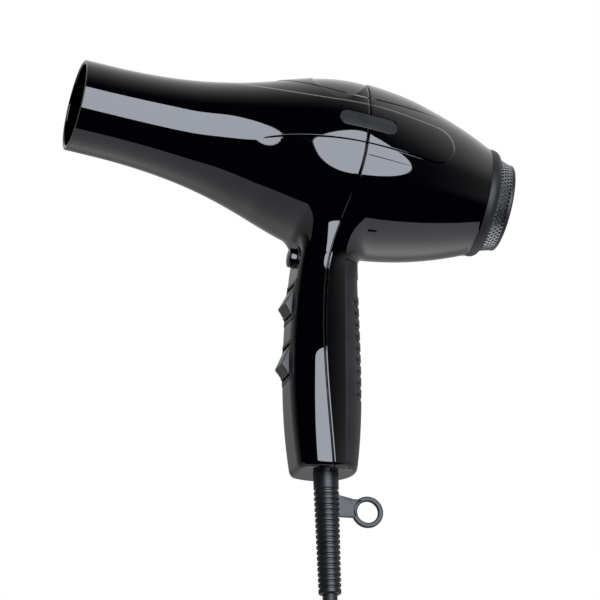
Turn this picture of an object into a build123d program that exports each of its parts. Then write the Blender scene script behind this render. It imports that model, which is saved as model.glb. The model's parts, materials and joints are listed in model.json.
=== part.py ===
from build123d import *
import math
import os

# Hand-held hair dryer, millimetres. +X points to the rear of the dryer, +Z up the handle and
# Y is the width. The origin is the middle of the hand grip. The barrel leans nose-up, so its
# pieces are made along a barrel axis, with X as the distance behind the nozzle rim, and are
# then put in place together.

# ---- barrel -----------------------------------------------------------------------------
AXIS_HEIGHT = 114.3          # barrel axis above the grip centre, over the handle
BARREL_LEAN = 9.9            # nose-up angle, degrees
NOZZLE_REACH = 131.1         # nozzle rim ahead of the handle centre, along the axis
NOZZLE_RADIUS = 23.6
SPIGOT_LENGTH = 13.0         # truly cylindrical length at the nozzle rim
FLARE_EASE = 78.0            # how long the nozzle holds its width before it flares
BELLY_EASE = 36.0            # how early the flare levels out
BELLY_STATION = 141.0
BELLY_RADIUS = 45.1
BACK_STATION = 180.0
BACK_RADIUS = 40.3
TAIL_STATION = 215.0
TAIL_RADIUS = 28.6
TAIL_LAND = 1.0
WALL = 2.2
ROOT_FILLET = 6.0            # where the handle grows out of the barrel
PARTING_GAP = 0.16

# ---- handle -----------------------------------------------------------------------------
HANDLE_BOTTOM = -49.2
HANDLE_CENTRE_X = 1.0
FOOT_SECTION = (17.2, 20.0, 18.5)       # rear radius, front radius, half width
GRIP_SECTION = (19.7, 23.5, 19.5)
NECK_SECTION = (18.1, 21.5, 18.6)
ROOT_SECTION = (18.6, 22.0, 19.4)
FRONT_EDGE_ROUND = 3.0
GRIP_HEIGHT = 5.0
NECK_HEIGHT = 55.0
ROOT_HEIGHT = 90.0
FRONT_FACE_X = -18.2
FRONT_FACE_RADIUS = 337.0
FRONT_FACE_HEIGHT = 4.0
FOOT_FILLET = 3.0
FOOT_CLEAR = 5.0

# ---- seam between the shells --------------------------------------------------------------
SEAM_TOP = (21.0, 165.0)
SEAM_SHOULDER = (12.7, 111.0)
SEAM_THROAT = (1.7, 69.0)
SEAM_WAIST = (-2.5, 18.0)
SEAM_FOOT = (2.6, -49.2)

# ---- raised hood and side panels: edges as stations and heights over the barrel axis ---------
PANEL_RISE = 0.5
PANEL_TOP_EDGE = ((50.0, 38.0), (74.0, 28.4), (97.0, 25.2), (120.0, 23.8), (150.0, 24.7), (181.0, 23.0))
PANEL_LOW_EDGE = ((181.0, 2.0), (150.0, 2.2), (117.0, 0.0), (92.0, -5.3), (50.0, -26.0))
PANEL_END = (191.4, 12.5)
HOOD_EDGE = ((88.0, 38.5), (100.0, 35.4), (120.5, 31.0), (131.0, 29.4), (152.0, 29.6), (200.0, 31.4))

# ---- badge insets -------------------------------------------------------------------------
BADGE_STATION = 143.7
BADGE_LIFT = 17.8            # degrees above the horizontal
BADGE_LENGTH = 31.0
BADGE_HEIGHT = 8.7
BADGE_DEPTH = 0.9
BADGE_SINK = 0.25
BADGE_FIT = 0.1

# ---- grip strip on the back of the handle ---------------------------------------------------
STRIP_TOP = 55.0
STRIP_BOTTOM = -42.0
STRIP_START_X = 8.6
STRIP_DEPTH = 1.3
STRIP_GAP = 0.12
THUMB_HEIGHT = 10.0
THUMB_DROP = 9.5
GROOVE_WIDTH = 24.0
GROOVE_PITCH = 6.1
GROOVE_COUNT = 9
GROOVE_TOP = 48.0
GROOVE_HEIGHT = 2.4
GROOVE_DEPTH = 0.7

# ---- rocker switches ------------------------------------------------------------------------
SPEED_HEIGHT = 39.5
HEAT_HEIGHT = 8.0
BEZEL_WIDTH = 23.0
BEZEL_HEIGHT = 21.4
BEZEL_FLANGE = 1.2
BEZEL_PROUD = 0.35
BEZEL_CORNER = 2.0
WINDOW_WIDTH = 19.0
WINDOW_HEIGHT = 20.0
WINDOW_CORNER = 1.4
BEZEL_DEPTH = 7.0
SWITCH_FIT = 0.15
MOUTH_CORNER = 0.8
ROCKER_WIDTH = 14.4
ROCKER_HEIGHT = 15.6
ROCKER_SIDE_GAP = 0.45
ROCKER_END_GAP = 0.95
ROCKER_TIP = 4.2
ROCKER_TIP_DROP = 2.6
ROCKER_HEEL = 1.1
ROCKER_HEEL_DROP = 6.6
PIVOT_DEPTH = 5.2
PIVOT_RADIUS = 1.4
PIVOT_FIT = 0.05
PIVOT_STUB = 1.0
ROCKER_TOP_SINK = 0.4
ROCKER_BELLY = 3.2
ROCKER_TIP_ROUND = 0.5
TERMINAL_PITCH = 5.6
TERMINAL_WIDTH = 0.8
TERMINAL_GAUGE = 4.0
SWITCH_BODY_DEPTH = 13.5
TERMINAL_LENGTH = 5.0

# ---- cool-shot button -----------------------------------------------------------------------
BUTTON_HEIGHT = 63.6
BUTTON_TILT = 5.0
BUTTON_RADIUS = 5.0
BUTTON_FACE_X = -17.6
BUTTON_TRAVEL = 2.0
BUTTON_LENGTH = 8.6
BUTTON_DOME = 1.0
BUTTON_CROWN = 0.5
BUTTON_SKIRT = 5.8
BUTTON_SKIRT_LENGTH = 1.5
BUTTON_FIT = 0.3
COLLAR_RADIUS = 7.0
COLLAR_PROUD = 0.5
COLLAR_LENGTH = 8.0
COLLAR_STEP = 0.4
COLLAR_FIT = 0.1
MICRO_DEPTH = 7.0
MICRO_WIDTH = 12.8
MICRO_HEIGHT = 9.0
STEM_RADIUS = 1.6
STEM_LENGTH = 6.0
SPRING_RADIUS = 2.7
SPRING_WIRE = 0.35
SPRING_TURNS = 4
SPRING_SEAT = 0.05

# ---- air path ------------------------------------------------------------------------------
GRILLE_STATION = 30.0
GRILLE_THICKNESS = 1.2
GRILLE_BAR = 1.1
GRILLE_RINGS = (6.5, 12.5)
GRILLE_FIT = 0.1
MICA_FRONT = 34.0
MICA_THROAT = 58.0
MICA_WALL = 0.7
MICA_FIT = 0.3
PLATE_FRONT = 38.0
PLATE_REAR = 112.0
CARD_FIT = 0.25
PLATE_THICKNESS = 0.8
PLATE_SLOT_FIT = 0.05
COIL_TURNS = 12
COIL_PITCH = 5.2
COIL_START = 44.0
COIL_REACH = 16.4
COIL_RIBBON = 1.6
COIL_GAUGE = 0.5
NOTCH_FIT = 0.1
THERMOSTAT_RADIUS = 4.0
THERMOSTAT_THICKNESS = 3.0
THERMOSTAT_LIFT = 0.05
THERMOSTAT_HEIGHT = 7.0
DUCT_FRONT = 119.0
DUCT_REAR = 187.0
DUCT_RADIUS = 34.0
DUCT_WALL = 1.6
DUCT_FLANGE = 2.0
DUCT_FLANGE_FIT = 0.3
VANE_COUNT = 9
VANE_THICKNESS = 1.4
VANE_FRONT = 124.0
VANE_REAR = 160.0
CUP_WALL = 1.4
CUP_FIT = 0.08

# ---- motor and fan ---------------------------------------------------------------------------
MOTOR_RADIUS = 14.0
MOTOR_WALL = 1.1
MOTOR_FRONT = 122.0
MOTOR_REAR = 158.0
END_CAP_LENGTH = 3.4
SHAFT_RADIUS = 1.6
SHAFT_FIT = 0.02
SHAFT_FRONT = 120.5
SHAFT_REAR = 181.0
BEARING_RADIUS = 3.6
BEARING_LENGTH = 3.2
MAGNET_THICKNESS = 2.6
MAGNET_SPAN = 120.0
MAGNET_FRONT = 130.0
MAGNET_REAR = 153.0
AIR_GAP = 0.5
ARMATURE_FRONT = 133.0
ARMATURE_REAR = 151.0
ARMATURE_POLES = 5
ARMATURE_SLOT = 2.6
ARMATURE_SLOT_DEPTH = 4.0
COMMUTATOR_RADIUS = 3.4
COMMUTATOR_LENGTH = 5.0
BRUSH_SIZE = 2.6
BRUSH_GAP = 0.15
FAN_FRONT = 164.0
FAN_LENGTH = 14.0
FAN_RADIUS = 33.0
HUB_RADIUS = 13.0
HUB_WALL = 1.6
BLADE_COUNT = 7
BLADE_THICKNESS = 1.3
BLADE_ROOT_ANGLE = 48.0
BLADE_TIP_ANGLE = 62.0
BLADE_ROOT_CHORD = 15.0
BLADE_TIP_CHORD = 19.0
BLADE_CAMBER = 1.8
BLADE_TRIM = 1.0

# ---- rear filter -----------------------------------------------------------------------------
FILTER_RING_LENGTH = 6.0
FILTER_RING_END_RADIUS = 25.0
FILTER_SLEEVE_LENGTH = 5.0
FILTER_SLEEVE_FIT = 0.3
FILTER_WALL = 1.8
FILTER_STEP = 0.4
BAND_RADIUS = 24.6
BAND_END_RADIUS = 22.6
BAND_LENGTH = 6.5
BAND_GAUGE = 0.6
BAND_ROWS = 2
BAND_HOLES = 30
BAND_HOLE_RADIUS = 1.1
RIM_LENGTH = 2.0
RIM_WIDTH = 3.4
END_MESH_GAUGE = 0.7
END_MESH_RINGS = 3
END_MESH_HOLE_RADIUS = 1.7

# ---- fixings and inner parts --------------------------------------------------------------------
SCREW_HEIGHTS = (-27.0, 53.0)
SCREW_HEAD_X = 10.0
SCREW_LENGTH = 18.0
SCREW_RADIUS = 1.4
SCREW_HEAD_RADIUS = 2.7
SCREW_HEAD = 2.0
SCREW_FIT = 0.1
BOSS_WALL = 1.5

# ---- cord guard and hanging loop ------------------------------------------------------------------
GUARD_X = 2.6
GUARD_LEAN = 2.0
GUARD_RADIUS = 6.5
GUARD_END_RADIUS = 5.8
GUARD_LENGTH = 62.0
GUARD_PLAIN = 7.4
GUARD_INSIDE = 7.0
GUARD_FLANGE_RADIUS = 8.4
GUARD_FLANGE = 2.2
GUARD_SEAT = 0.35
GUARD_RIB_PITCH = 2.8
GUARD_GROOVE = 1.0
GUARD_GROOVE_DEPTH = 0.7
GUARD_FIT = 0.1
GUARD_BORE_FIT = 0.05
LOOP_THICKNESS = 2.6
LOOP_TOP_Z = -56.6
LOOP_NECK_X = 17.0
LOOP_NECK_TOP_Z = -61.3
LOOP_FOOT_Z = -70.8
LOOP_HOLE_X = 24.4
LOOP_HOLE_Z = -67.6
LOOP_HOLE_RADIUS = 5.5
LOOP_RADIUS = 8.1
CLAMP_HEIGHT = 6.0
CLAMP_WIDTH = 20.0
CLAMP_DEPTH = 14.0
CLAMP_CORNER = 1.5

# ---- cord -----------------------------------------------------------------------------------------
CORD_DIAMETER = 7.6
COIL_MEAN_RADIUS = 44.0
COIL_BUNDLE_RADIUS = 13.2
COIL_CENTRE_X = 4.5
COIL_CENTRE_Z = -233.0
CORD_POINTS = (
    (4.77, 0.0, -111.2),
    (5.4, 0.0, -128.0),
    (2.0, 0.0, -147.0),
    (-8.0, 0.0, -165.5),
    (-20.5, 0.0, -182.0),
    (-31.5, 0.0, -198.0),
    (-38.0, 0.0, -216.0),
    (-39.5, 0.0, -233.0),
)
ARC_SHARE = 0.45
TIE_WIDTH = 9.0
TIE_THICKNESS = 1.2
TIE_FIT = 0.4
PLUG_FIT = 0.4
PLUG_TAIL = 32.0
PLUG_TAIL_DROP = 4.0
PLUG_TAIL_RADIUS = 4.8
PLUG_LENGTH = 34.0
PLUG_WIDTH = 24.0
PLUG_THICKNESS = 16.0
PLUG_CORNER = 5.0
PLUG_NOSE = 3.0
PIN_SPACING = 12.7
PIN_WIDTH = 6.3
PIN_GAUGE = 1.5
PIN_LENGTH = 17.0

BARREL = Location(
    (
        -NOZZLE_REACH * math.cos(math.radians(BARREL_LEAN)),
        0,
        AXIS_HEIGHT + NOZZLE_REACH * math.sin(math.radians(BARREL_LEAN)),
    ),
    (0, BARREL_LEAN, 0),
)


def turned(edges):
    """Solid turned about the barrel axis from a closed half outline in X and radius."""
    return revolve(Plane.XZ * make_face(edges), Axis.X)


def tube(start, end, outer, inner):
    """Plain ring about the barrel axis."""
    ring = Circle(outer)
    if inner > 0:
        ring = ring - Circle(inner)
    return extrude(Plane.YZ.offset(start) * ring, end - start)


def barrel_form(inset, front=0.0, rear=0.0, rise=0.0):
    """The barrel's form, moved in by a wall, made longer by front and rear and fuller by a rise."""
    spigot = NOZZLE_RADIUS - inset
    belly = BELLY_RADIUS + rise - inset
    back = BACK_RADIUS + rise - inset
    tail = TAIL_RADIUS - inset
    land = TAIL_STATION - TAIL_LAND
    edges = [
        Line((-front, 0), (-front, spigot)),
        Line((-front, spigot), (SPIGOT_LENGTH, spigot)),
        Bezier(
            (SPIGOT_LENGTH, spigot),
            (SPIGOT_LENGTH + FLARE_EASE, spigot),
            (BELLY_STATION - BELLY_EASE, belly),
            (BELLY_STATION, belly),
        ),
        ThreePointArc((BELLY_STATION, belly), (BACK_STATION, back), (land, tail)),
        Line((land, tail), (TAIL_STATION + rear, tail)),
        Line((TAIL_STATION + rear, tail), (TAIL_STATION + rear, 0)),
        Line((TAIL_STATION + rear, 0), (-front, 0)),
    ]
    return turned(edges)


def front_x(height):
    """Where the handle's front face stands at a height."""
    rise = height - FRONT_FACE_HEIGHT
    return FRONT_FACE_X + FRONT_FACE_RADIUS - math.sqrt(FRONT_FACE_RADIUS**2 - rise**2)


def front_tilt(height):
    """How far the handle's front face leans back at a height, degrees."""
    return math.degrees(math.asin((height - FRONT_FACE_HEIGHT) / FRONT_FACE_RADIUS))


def handle_section(height, section, inset):
    """One level section of the handle: an oval with a flat front and rounded edges."""
    rear, nose, width = (size - inset for size in section)
    back_half = EllipticalCenterArc((HANDLE_CENTRE_X, 0), rear, width, -90, arc_size=180)
    front_half = EllipticalCenterArc((HANDLE_CENTRE_X, 0), nose, width, 90, arc_size=180)
    oval = make_face([back_half, front_half])
    oval -= Pos(front_x(height) + inset, 0) * Rectangle(nose, 2 * width, align=(Align.MAX, Align.CENTER))
    front_edges = oval.vertices().group_by(Axis.X)[0]
    return Pos(0, 0, height) * fillet(front_edges, FRONT_EDGE_ROUND - inset)


def handle_form(inset, bottom):
    """The handle's form, from its foot up into the barrel."""
    sections = [
        handle_section(bottom, FOOT_SECTION, inset),
        handle_section(GRIP_HEIGHT, GRIP_SECTION, inset),
        handle_section(NECK_HEIGHT, NECK_SECTION, inset),
        handle_section(ROOT_HEIGHT, ROOT_SECTION, inset),
    ]
    return loft(sections)


def seam_zone(shift):
    """Everything behind the seam, which runs down the side of barrel and handle."""
    top, shoulder, throat, waist, foot = (
        Vector(x + shift, z) for x, z in (SEAM_TOP, SEAM_SHOULDER, SEAM_THROAT, SEAM_WAIST, SEAM_FOOT)
    )
    below = foot - Vector(0, FOOT_CLEAR)
    far = Vector(TAIL_STATION, 0)
    edges = [
        Line(top, shoulder),
        Spline(shoulder, throat, waist, foot, tangents=[shoulder - top, Vector(0.1, -1)]),
        Polyline(foot, below, (far.X, below.Y), (far.X, top.Y), top),
    ]
    return extrude(Plane.XZ * make_face(edges), 2 * BELLY_RADIUS, both=True)


def side_prism(plan):
    """An outline in station and height, run through both sides of the barrel."""
    return extrude(Plane.XZ * plan, 2 * BELLY_RADIUS, both=True)


def raised_panels():
    """Low raised hood over the barrel and a long raised panel with a round end on each side."""
    top_end = PANEL_TOP_EDGE[-1]
    low_start = PANEL_LOW_EDGE[0]
    panel = make_face(
        [
            Spline(*PANEL_TOP_EDGE, tangents=[(2, -1), (1, 0)], tangent_scalars=[1, 1]),
            ThreePointArc(top_end, PANEL_END, low_start),
            Spline(*PANEL_LOW_EDGE, tangents=[(-1, 0), (-2, -1)], tangent_scalars=[1, 1]),
            Line(PANEL_LOW_EDGE[-1], PANEL_TOP_EDGE[0]),
        ]
    )
    hood_start = HOOD_EDGE[0]
    hood_end = HOOD_EDGE[-1]
    over = 2 * BELLY_RADIUS
    hood = make_face(
        [
            Spline(*HOOD_EDGE),
            Polyline(hood_end, (hood_end[0], over), (hood_start[0], over), hood_start),
        ]
    )
    return barrel_form(0, rise=PANEL_RISE) & side_prism(panel + hood)


def housing_form():
    """Outside of both shells together: barrel and handle with a soft root."""
    handle = handle_form(0, HANDLE_BOTTOM)
    handle = fillet(handle.edges().group_by(Axis.Z)[0], FOOT_FILLET)
    body = BARREL * barrel_form(0) + handle
    root = body.edges().filter_by(lambda edge: NECK_HEIGHT < edge.center().Z < ROOT_HEIGHT)
    return fillet(root.filter_by(GeomType.BSPLINE), ROOT_FILLET) + BARREL * raised_panels()


def screw_place(height):
    """A handle screw's head face, with the screw pointing to the front."""
    return Location((SCREW_HEAD_X, 0, height), (0, -90, 0))


def screw_posts(inside):
    """Posts across the handle that the two handle screws draw together."""
    posts = Part()
    for height in SCREW_HEIGHTS:
        slim = extrude(Circle(SCREW_RADIUS + BOSS_WALL), SCREW_LENGTH + GRIP_SECTION[1])
        wide = extrude(Circle(SCREW_HEAD_RADIUS + SCREW_FIT + BOSS_WALL), -GRIP_SECTION[0])
        seat = extrude(Circle(SCREW_HEAD_RADIUS + SCREW_FIT + BOSS_WALL), BOSS_WALL)
        posts += screw_place(height) * (slim + wide + seat)
    return posts & inside


def screw_bores():
    """Through holes, counterbores and blind pilot holes for the handle screws."""
    bores = Part()
    for height in SCREW_HEIGHTS:
        shank = extrude(Circle(SCREW_RADIUS + SCREW_FIT), SCREW_LENGTH + SCREW_FIT)
        head = extrude(Circle(SCREW_HEAD_RADIUS + SCREW_FIT), -GRIP_SECTION[0])
        bores += screw_place(height) * (shank + head)
    return bores


def screws():
    """The two handle screws."""
    pair = Part()
    for height in SCREW_HEIGHTS:
        shank = extrude(Circle(SCREW_RADIUS), SCREW_LENGTH)
        head = extrude(Circle(SCREW_HEAD_RADIUS), -SCREW_HEAD)
        drive = extrude(Pos(0, 0, -SCREW_HEAD) * Rectangle(SCREW_HEAD, SCREW_FIT * 5), SCREW_HEAD / 2)
        pair += screw_place(height) * (shank + head - drive)
    return pair


def badge_prism(margin):
    """Oval that runs through both sides of the barrel."""
    long = BADGE_LENGTH - 2 * margin
    tall = BADGE_HEIGHT - 2 * margin
    lift = BELLY_RADIUS * math.sin(math.radians(BADGE_LIFT))
    return side_prism(Pos(BADGE_STATION, lift) * SlotOverall(long, tall))


def badges():
    """Bare oval insets, left and right, sunk a little below the gloss."""
    plate = barrel_form(BADGE_SINK, rise=PANEL_RISE) - barrel_form(BADGE_DEPTH, rise=PANEL_RISE)
    plate = BARREL * (plate & badge_prism(BADGE_FIT))
    right, left = plate.solids().sort_by(Axis.Y)
    return left, right


def strip_zone(margin):
    """The back of the handle that the grip strip covers."""
    tall = STRIP_TOP - STRIP_BOTTOM - 2 * margin
    middle = (STRIP_TOP + STRIP_BOTTOM) / 2
    deep = GRIP_SECTION[0]
    zone = Box(deep, 2 * GRIP_SECTION[2], tall, align=(Align.MIN, Align.CENTER, Align.CENTER))
    return Pos(STRIP_START_X + margin, 0, middle) * zone


def strip_grooves():
    """Rounded grooves across the back of the grip and the thumb rest above them."""
    cuts = Sketch()
    for step in range(GROOVE_COUNT):
        height = GROOVE_TOP - THUMB_DROP - step * GROOVE_PITCH
        cuts += Pos(0, height) * SlotOverall(GROOVE_WIDTH, GROOVE_HEIGHT)
    cuts += Pos(0, GROOVE_TOP) * SlotOverall(GROOVE_WIDTH, THUMB_HEIGHT)
    return extrude(Plane.YZ * cuts, 2 * GRIP_SECTION[0])


def grip_strip():
    """Satin strip let into the back of the handle, with its grooves."""
    skin = handle_form(0, HANDLE_BOTTOM) & strip_zone(STRIP_GAP)
    groove = strip_grooves() - handle_form(GROOVE_DEPTH, HANDLE_BOTTOM)
    return skin - handle_form(STRIP_DEPTH - STRIP_GAP, HANDLE_BOTTOM) - groove


def switch_place(height):
    """The middle of a switch on the handle's front face; -X there points out of the face."""
    return Location((front_x(height), 0, height), (0, front_tilt(height), 0))


def block(start, end, width, height, corner):
    """Block with rounded corners that runs from one depth to another behind a face."""
    return extrude(Plane.YZ.offset(start) * RectangleRounded(width, height, corner), end - start)


def switch_windows():
    """Openings and flange seats in the front shell for both switches."""
    cut = Part()
    seat_width = BEZEL_WIDTH + 2 * SWITCH_FIT
    seat_height = BEZEL_HEIGHT + 2 * SWITCH_FIT
    for height in (SPEED_HEIGHT, HEAT_HEIGHT):
        seat = block(-2 * WALL, BEZEL_FLANGE - BEZEL_PROUD, seat_width, seat_height, BEZEL_CORNER)
        window = block(-2 * WALL, BEZEL_DEPTH, WINDOW_WIDTH, WINDOW_HEIGHT, WINDOW_CORNER)
        cut += switch_place(height) * (seat + window)
    return cut


def bezel(height):
    """Switch frame: a flange on the handle's face and a collar that carries the rocker's pins."""
    front = -BEZEL_PROUD
    flange = block(front, front + BEZEL_FLANGE, BEZEL_WIDTH, BEZEL_HEIGHT, BEZEL_CORNER)
    flange = chamfer(flange.faces().sort_by(Axis.X)[0].edges(), BEZEL_PROUD)
    collar_width = WINDOW_WIDTH - 2 * SWITCH_FIT
    collar_height = WINDOW_HEIGHT - 2 * SWITCH_FIT
    collar = block(front, BEZEL_DEPTH, collar_width, collar_height, WINDOW_CORNER)
    mouth_width = ROCKER_WIDTH + 2 * ROCKER_SIDE_GAP
    mouth_height = ROCKER_HEIGHT + 2 * ROCKER_END_GAP
    mouth = block(front, BEZEL_DEPTH, mouth_width, mouth_height, MOUTH_CORNER)
    pin_span = mouth_width + 2 * PIVOT_STUB + 2 * PIVOT_FIT
    holes = Pos(PIVOT_DEPTH, 0, 0) * Rot(90, 0, 0) * Cylinder(PIVOT_RADIUS + PIVOT_FIT, pin_span)
    open_back = block(PIVOT_DEPTH, BEZEL_DEPTH, pin_span, 2 * PIVOT_RADIUS, PIVOT_FIT)
    return switch_place(height) * (flange + collar - mouth - holes - open_back)


def rocker(height):
    """Three-position rocker with a finger nose and stub pins."""
    half = ROCKER_HEIGHT / 2
    edges = [
        Polyline(
            (PIVOT_DEPTH, half),
            (ROCKER_TOP_SINK, half),
            (-ROCKER_TIP, -ROCKER_TIP_DROP),
            (-ROCKER_HEEL, -ROCKER_HEEL_DROP),
            (-ROCKER_HEEL, -half),
            (PIVOT_DEPTH, -half),
        ),
        ThreePointArc((PIVOT_DEPTH, -half), (PIVOT_DEPTH + ROCKER_BELLY, 0), (PIVOT_DEPTH, half)),
    ]
    paddle = extrude(Plane.XZ * make_face(edges), ROCKER_WIDTH / 2, both=True)
    tip = paddle.edges().filter_by(Axis.Y).sort_by(Axis.X)[0]
    paddle = fillet(tip, ROCKER_TIP_ROUND)
    pins = Pos(PIVOT_DEPTH, 0, 0) * Rot(90, 0, 0) * Cylinder(
        PIVOT_RADIUS, ROCKER_WIDTH + 2 * ROCKER_SIDE_GAP + 2 * PIVOT_STUB
    )
    return switch_place(height) * (paddle + pins)


def switch_body(height):
    """Contact housing clipped behind a bezel, open to the rocker's heel."""
    width = WINDOW_WIDTH - 2 * SWITCH_FIT
    tall = WINDOW_HEIGHT - 2 * SWITCH_FIT
    back = BEZEL_DEPTH + SWITCH_BODY_DEPTH
    case = block(BEZEL_DEPTH, back, width, tall, WINDOW_CORNER)
    pocket_width = ROCKER_WIDTH + 2 * ROCKER_SIDE_GAP
    pocket_height = ROCKER_HEIGHT + 2 * ROCKER_END_GAP
    pocket_back = PIVOT_DEPTH + ROCKER_BELLY + ROCKER_END_GAP
    pocket = block(BEZEL_DEPTH, pocket_back, pocket_width, pocket_height, MOUTH_CORNER)
    return switch_place(height) * (case - pocket)


def switch_terminals():
    """Flat terminals behind both switches, three to a switch."""
    blades = Part()
    back = BEZEL_DEPTH + SWITCH_BODY_DEPTH
    for height in (SPEED_HEIGHT, HEAT_HEIGHT):
        for place in GridLocations(0, TERMINAL_PITCH, 1, 3):
            blade = Plane.YZ.offset(back) * place * Rectangle(TERMINAL_WIDTH, TERMINAL_GAUGE)
            blades += switch_place(height) * extrude(blade, TERMINAL_LENGTH)
    return blades


def button_place():
    """The middle of the cool-shot button's face; -X there points out."""
    return Location((BUTTON_FACE_X, 0, BUTTON_HEIGHT), (0, BUTTON_TILT, 0))


def button_face_depth():
    """How far the handle's face lies behind the button's end."""
    return front_x(BUTTON_HEIGHT) - BUTTON_FACE_X


def collar_back():
    """Depth at which the button's collar ends inside the handle."""
    return button_face_depth() + COLLAR_LENGTH


def cool_shot_button():
    """Round push button with a domed end, a retaining skirt and a stem."""
    crown = BUTTON_RADIUS - BUTTON_DOME
    skirt = BUTTON_LENGTH - BUTTON_SKIRT_LENGTH
    end = BUTTON_LENGTH + STEM_LENGTH
    edges = [
        ThreePointArc((0, 0), (BUTTON_CROWN / 4, crown / 2), (BUTTON_CROWN, crown)),
        TangentArc(
            (BUTTON_CROWN, crown),
            (BUTTON_CROWN + BUTTON_DOME, BUTTON_RADIUS),
            tangent=(0, 1),
        ),
        Polyline(
            (BUTTON_CROWN + BUTTON_DOME, BUTTON_RADIUS),
            (skirt, BUTTON_RADIUS),
            (skirt, BUTTON_SKIRT),
            (BUTTON_LENGTH, BUTTON_SKIRT),
            (BUTTON_LENGTH, STEM_RADIUS),
            (end, STEM_RADIUS),
            (end, 0),
            (0, 0),
        ),
    ]
    return button_place() * turned(edges)


def button_collar():
    """Collar set in the handle's face that guides the button and holds its skirt."""
    face = button_face_depth()
    shoulder = BUTTON_LENGTH - BUTTON_SKIRT_LENGTH - BUTTON_FIT
    flange = tube(face - COLLAR_PROUD, face, COLLAR_RADIUS, 0)
    sleeve = tube(face, collar_back(), COLLAR_RADIUS - COLLAR_STEP, 0)
    bore = tube(face - COLLAR_PROUD, shoulder, BUTTON_RADIUS + BUTTON_FIT, 0)
    pocket = tube(shoulder, collar_back(), BUTTON_SKIRT + BUTTON_FIT, 0)
    return button_place() * (flange + sleeve - bore - pocket)


def cool_shot_switch():
    """Small push switch behind the button, bored for the button's stem."""
    front = collar_back() + SWITCH_FIT
    case = block(front, front + MICRO_DEPTH, MICRO_WIDTH, MICRO_HEIGHT, MOUTH_CORNER)
    bore_end = BUTTON_LENGTH + STEM_LENGTH + BUTTON_TRAVEL + BUTTON_FIT
    bore = tube(front, bore_end, STEM_RADIUS + BUTTON_FIT, 0)
    return button_place() * (case - bore)


def button_spring():
    """Return spring round the stem, between the button and its switch."""
    back = collar_back() + SWITCH_FIT
    wire = SPRING_WIRE + SPRING_SEAT
    height = back - BUTTON_LENGTH - 2 * wire
    foot = (BUTTON_LENGTH + wire, 0, 0)
    path = Helix(height / SPRING_TURNS, height, SPRING_RADIUS, center=foot, direction=(1, 0, 0))
    section = Plane(path @ 0, z_dir=path % 0) * Rectangle(2 * SPRING_WIRE, 2 * SPRING_WIRE)
    coil = sweep(section, path, is_frenet=True)
    return button_place() * coil


def grille():
    """Front guard deep in the nozzle: rings and spokes on one rim."""
    rim = flare_radius(GRILLE_STATION) - WALL - GRILLE_FIT
    plan = Circle(rim) - Circle(rim - GRILLE_BAR)
    for radius in GRILLE_RINGS:
        plan += Circle(radius + GRILLE_BAR / 2) - Circle(radius - GRILLE_BAR / 2)
    for angle in range(0, 180, 60):
        plan += Rot(0, 0, angle) * Rectangle(2 * rim - GRILLE_BAR, GRILLE_BAR)
    bars = extrude(Plane.YZ.offset(GRILLE_STATION) * plan, GRILLE_THICKNESS)
    return BARREL * bars


def flare_radius(station):
    """Barrel radius at a station of the nozzle's flare, found by halving along its curve."""
    low, high = 0.0, 1.0
    for _ in range(40):
        share = (low + high) / 2
        rest = 1 - share
        along = (
            rest**3 * SPIGOT_LENGTH
            + 3 * rest**2 * share * (SPIGOT_LENGTH + FLARE_EASE)
            + 3 * rest * share**2 * (BELLY_STATION - BELLY_EASE)
            + share**3 * BELLY_STATION
        )
        if along < station:
            low = share
        else:
            high = share
    near = rest**3 + 3 * rest**2 * share
    return near * NOZZLE_RADIUS + (1 - near) * BELLY_RADIUS


def mica_nose_radius():
    """Outside radius of the mica tube's nose, which fits the nozzle's bore."""
    return flare_radius(MICA_FRONT) - WALL - MICA_FIT


def mica_tube():
    """Heat-proof tube round the element: a straight nose and a cone to the air guide."""
    nose = mica_nose_radius()
    tail = DUCT_RADIUS + DUCT_WALL / 2
    rear = DUCT_FRONT - MICA_FIT
    edges = [
        Polyline(
            (MICA_FRONT, nose),
            (MICA_THROAT, nose),
            (rear, tail),
            (rear, tail - MICA_WALL),
            (MICA_THROAT, nose - MICA_WALL),
            (MICA_FRONT, nose - MICA_WALL),
            (MICA_FRONT, nose),
        )
    ]
    return BARREL * turned(edges)


def mica_plate(turn, slot_from, slot_to):
    """One notched card of the element's cross, slotted to pass the other card."""
    reach = mica_nose_radius() - MICA_WALL - CARD_FIT
    depth = reach - COIL_REACH + COIL_GAUGE + PLATE_THICKNESS / 2 + NOTCH_FIT
    card = Pos((PLATE_FRONT + PLATE_REAR) / 2, 0) * Rectangle(PLATE_REAR - PLATE_FRONT, 2 * reach)
    slot_height = PLATE_THICKNESS + 2 * PLATE_SLOT_FIT
    slot = Pos((slot_from + slot_to) / 2, 0) * Rectangle(slot_to - slot_from, slot_height)
    for turn_index in range(COIL_TURNS):
        station = COIL_START + turn_index * COIL_PITCH
        for side in (-1, 1):
            notch = Rectangle(COIL_RIBBON + 2 * NOTCH_FIT, depth)
            card -= Pos(station, side * (reach - depth / 2)) * notch
    plate = extrude(Plane.XZ * (card - slot), PLATE_THICKNESS / 2, both=True)
    return BARREL * Rot(turn, 0, 0) * plate


def heating_coil():
    """Resistance ribbon wound over the tips of the cross, one square turn to a notch."""
    turns = Part()
    outer = RegularPolygon(COIL_REACH, 4)
    inner = RegularPolygon(COIL_REACH - COIL_GAUGE, 4)
    for turn_index in range(COIL_TURNS):
        station = COIL_START + turn_index * COIL_PITCH - COIL_RIBBON / 2
        turns += extrude(Plane.YZ.offset(station) * (outer - inner), COIL_RIBBON)
    return BARREL * turns


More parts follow.
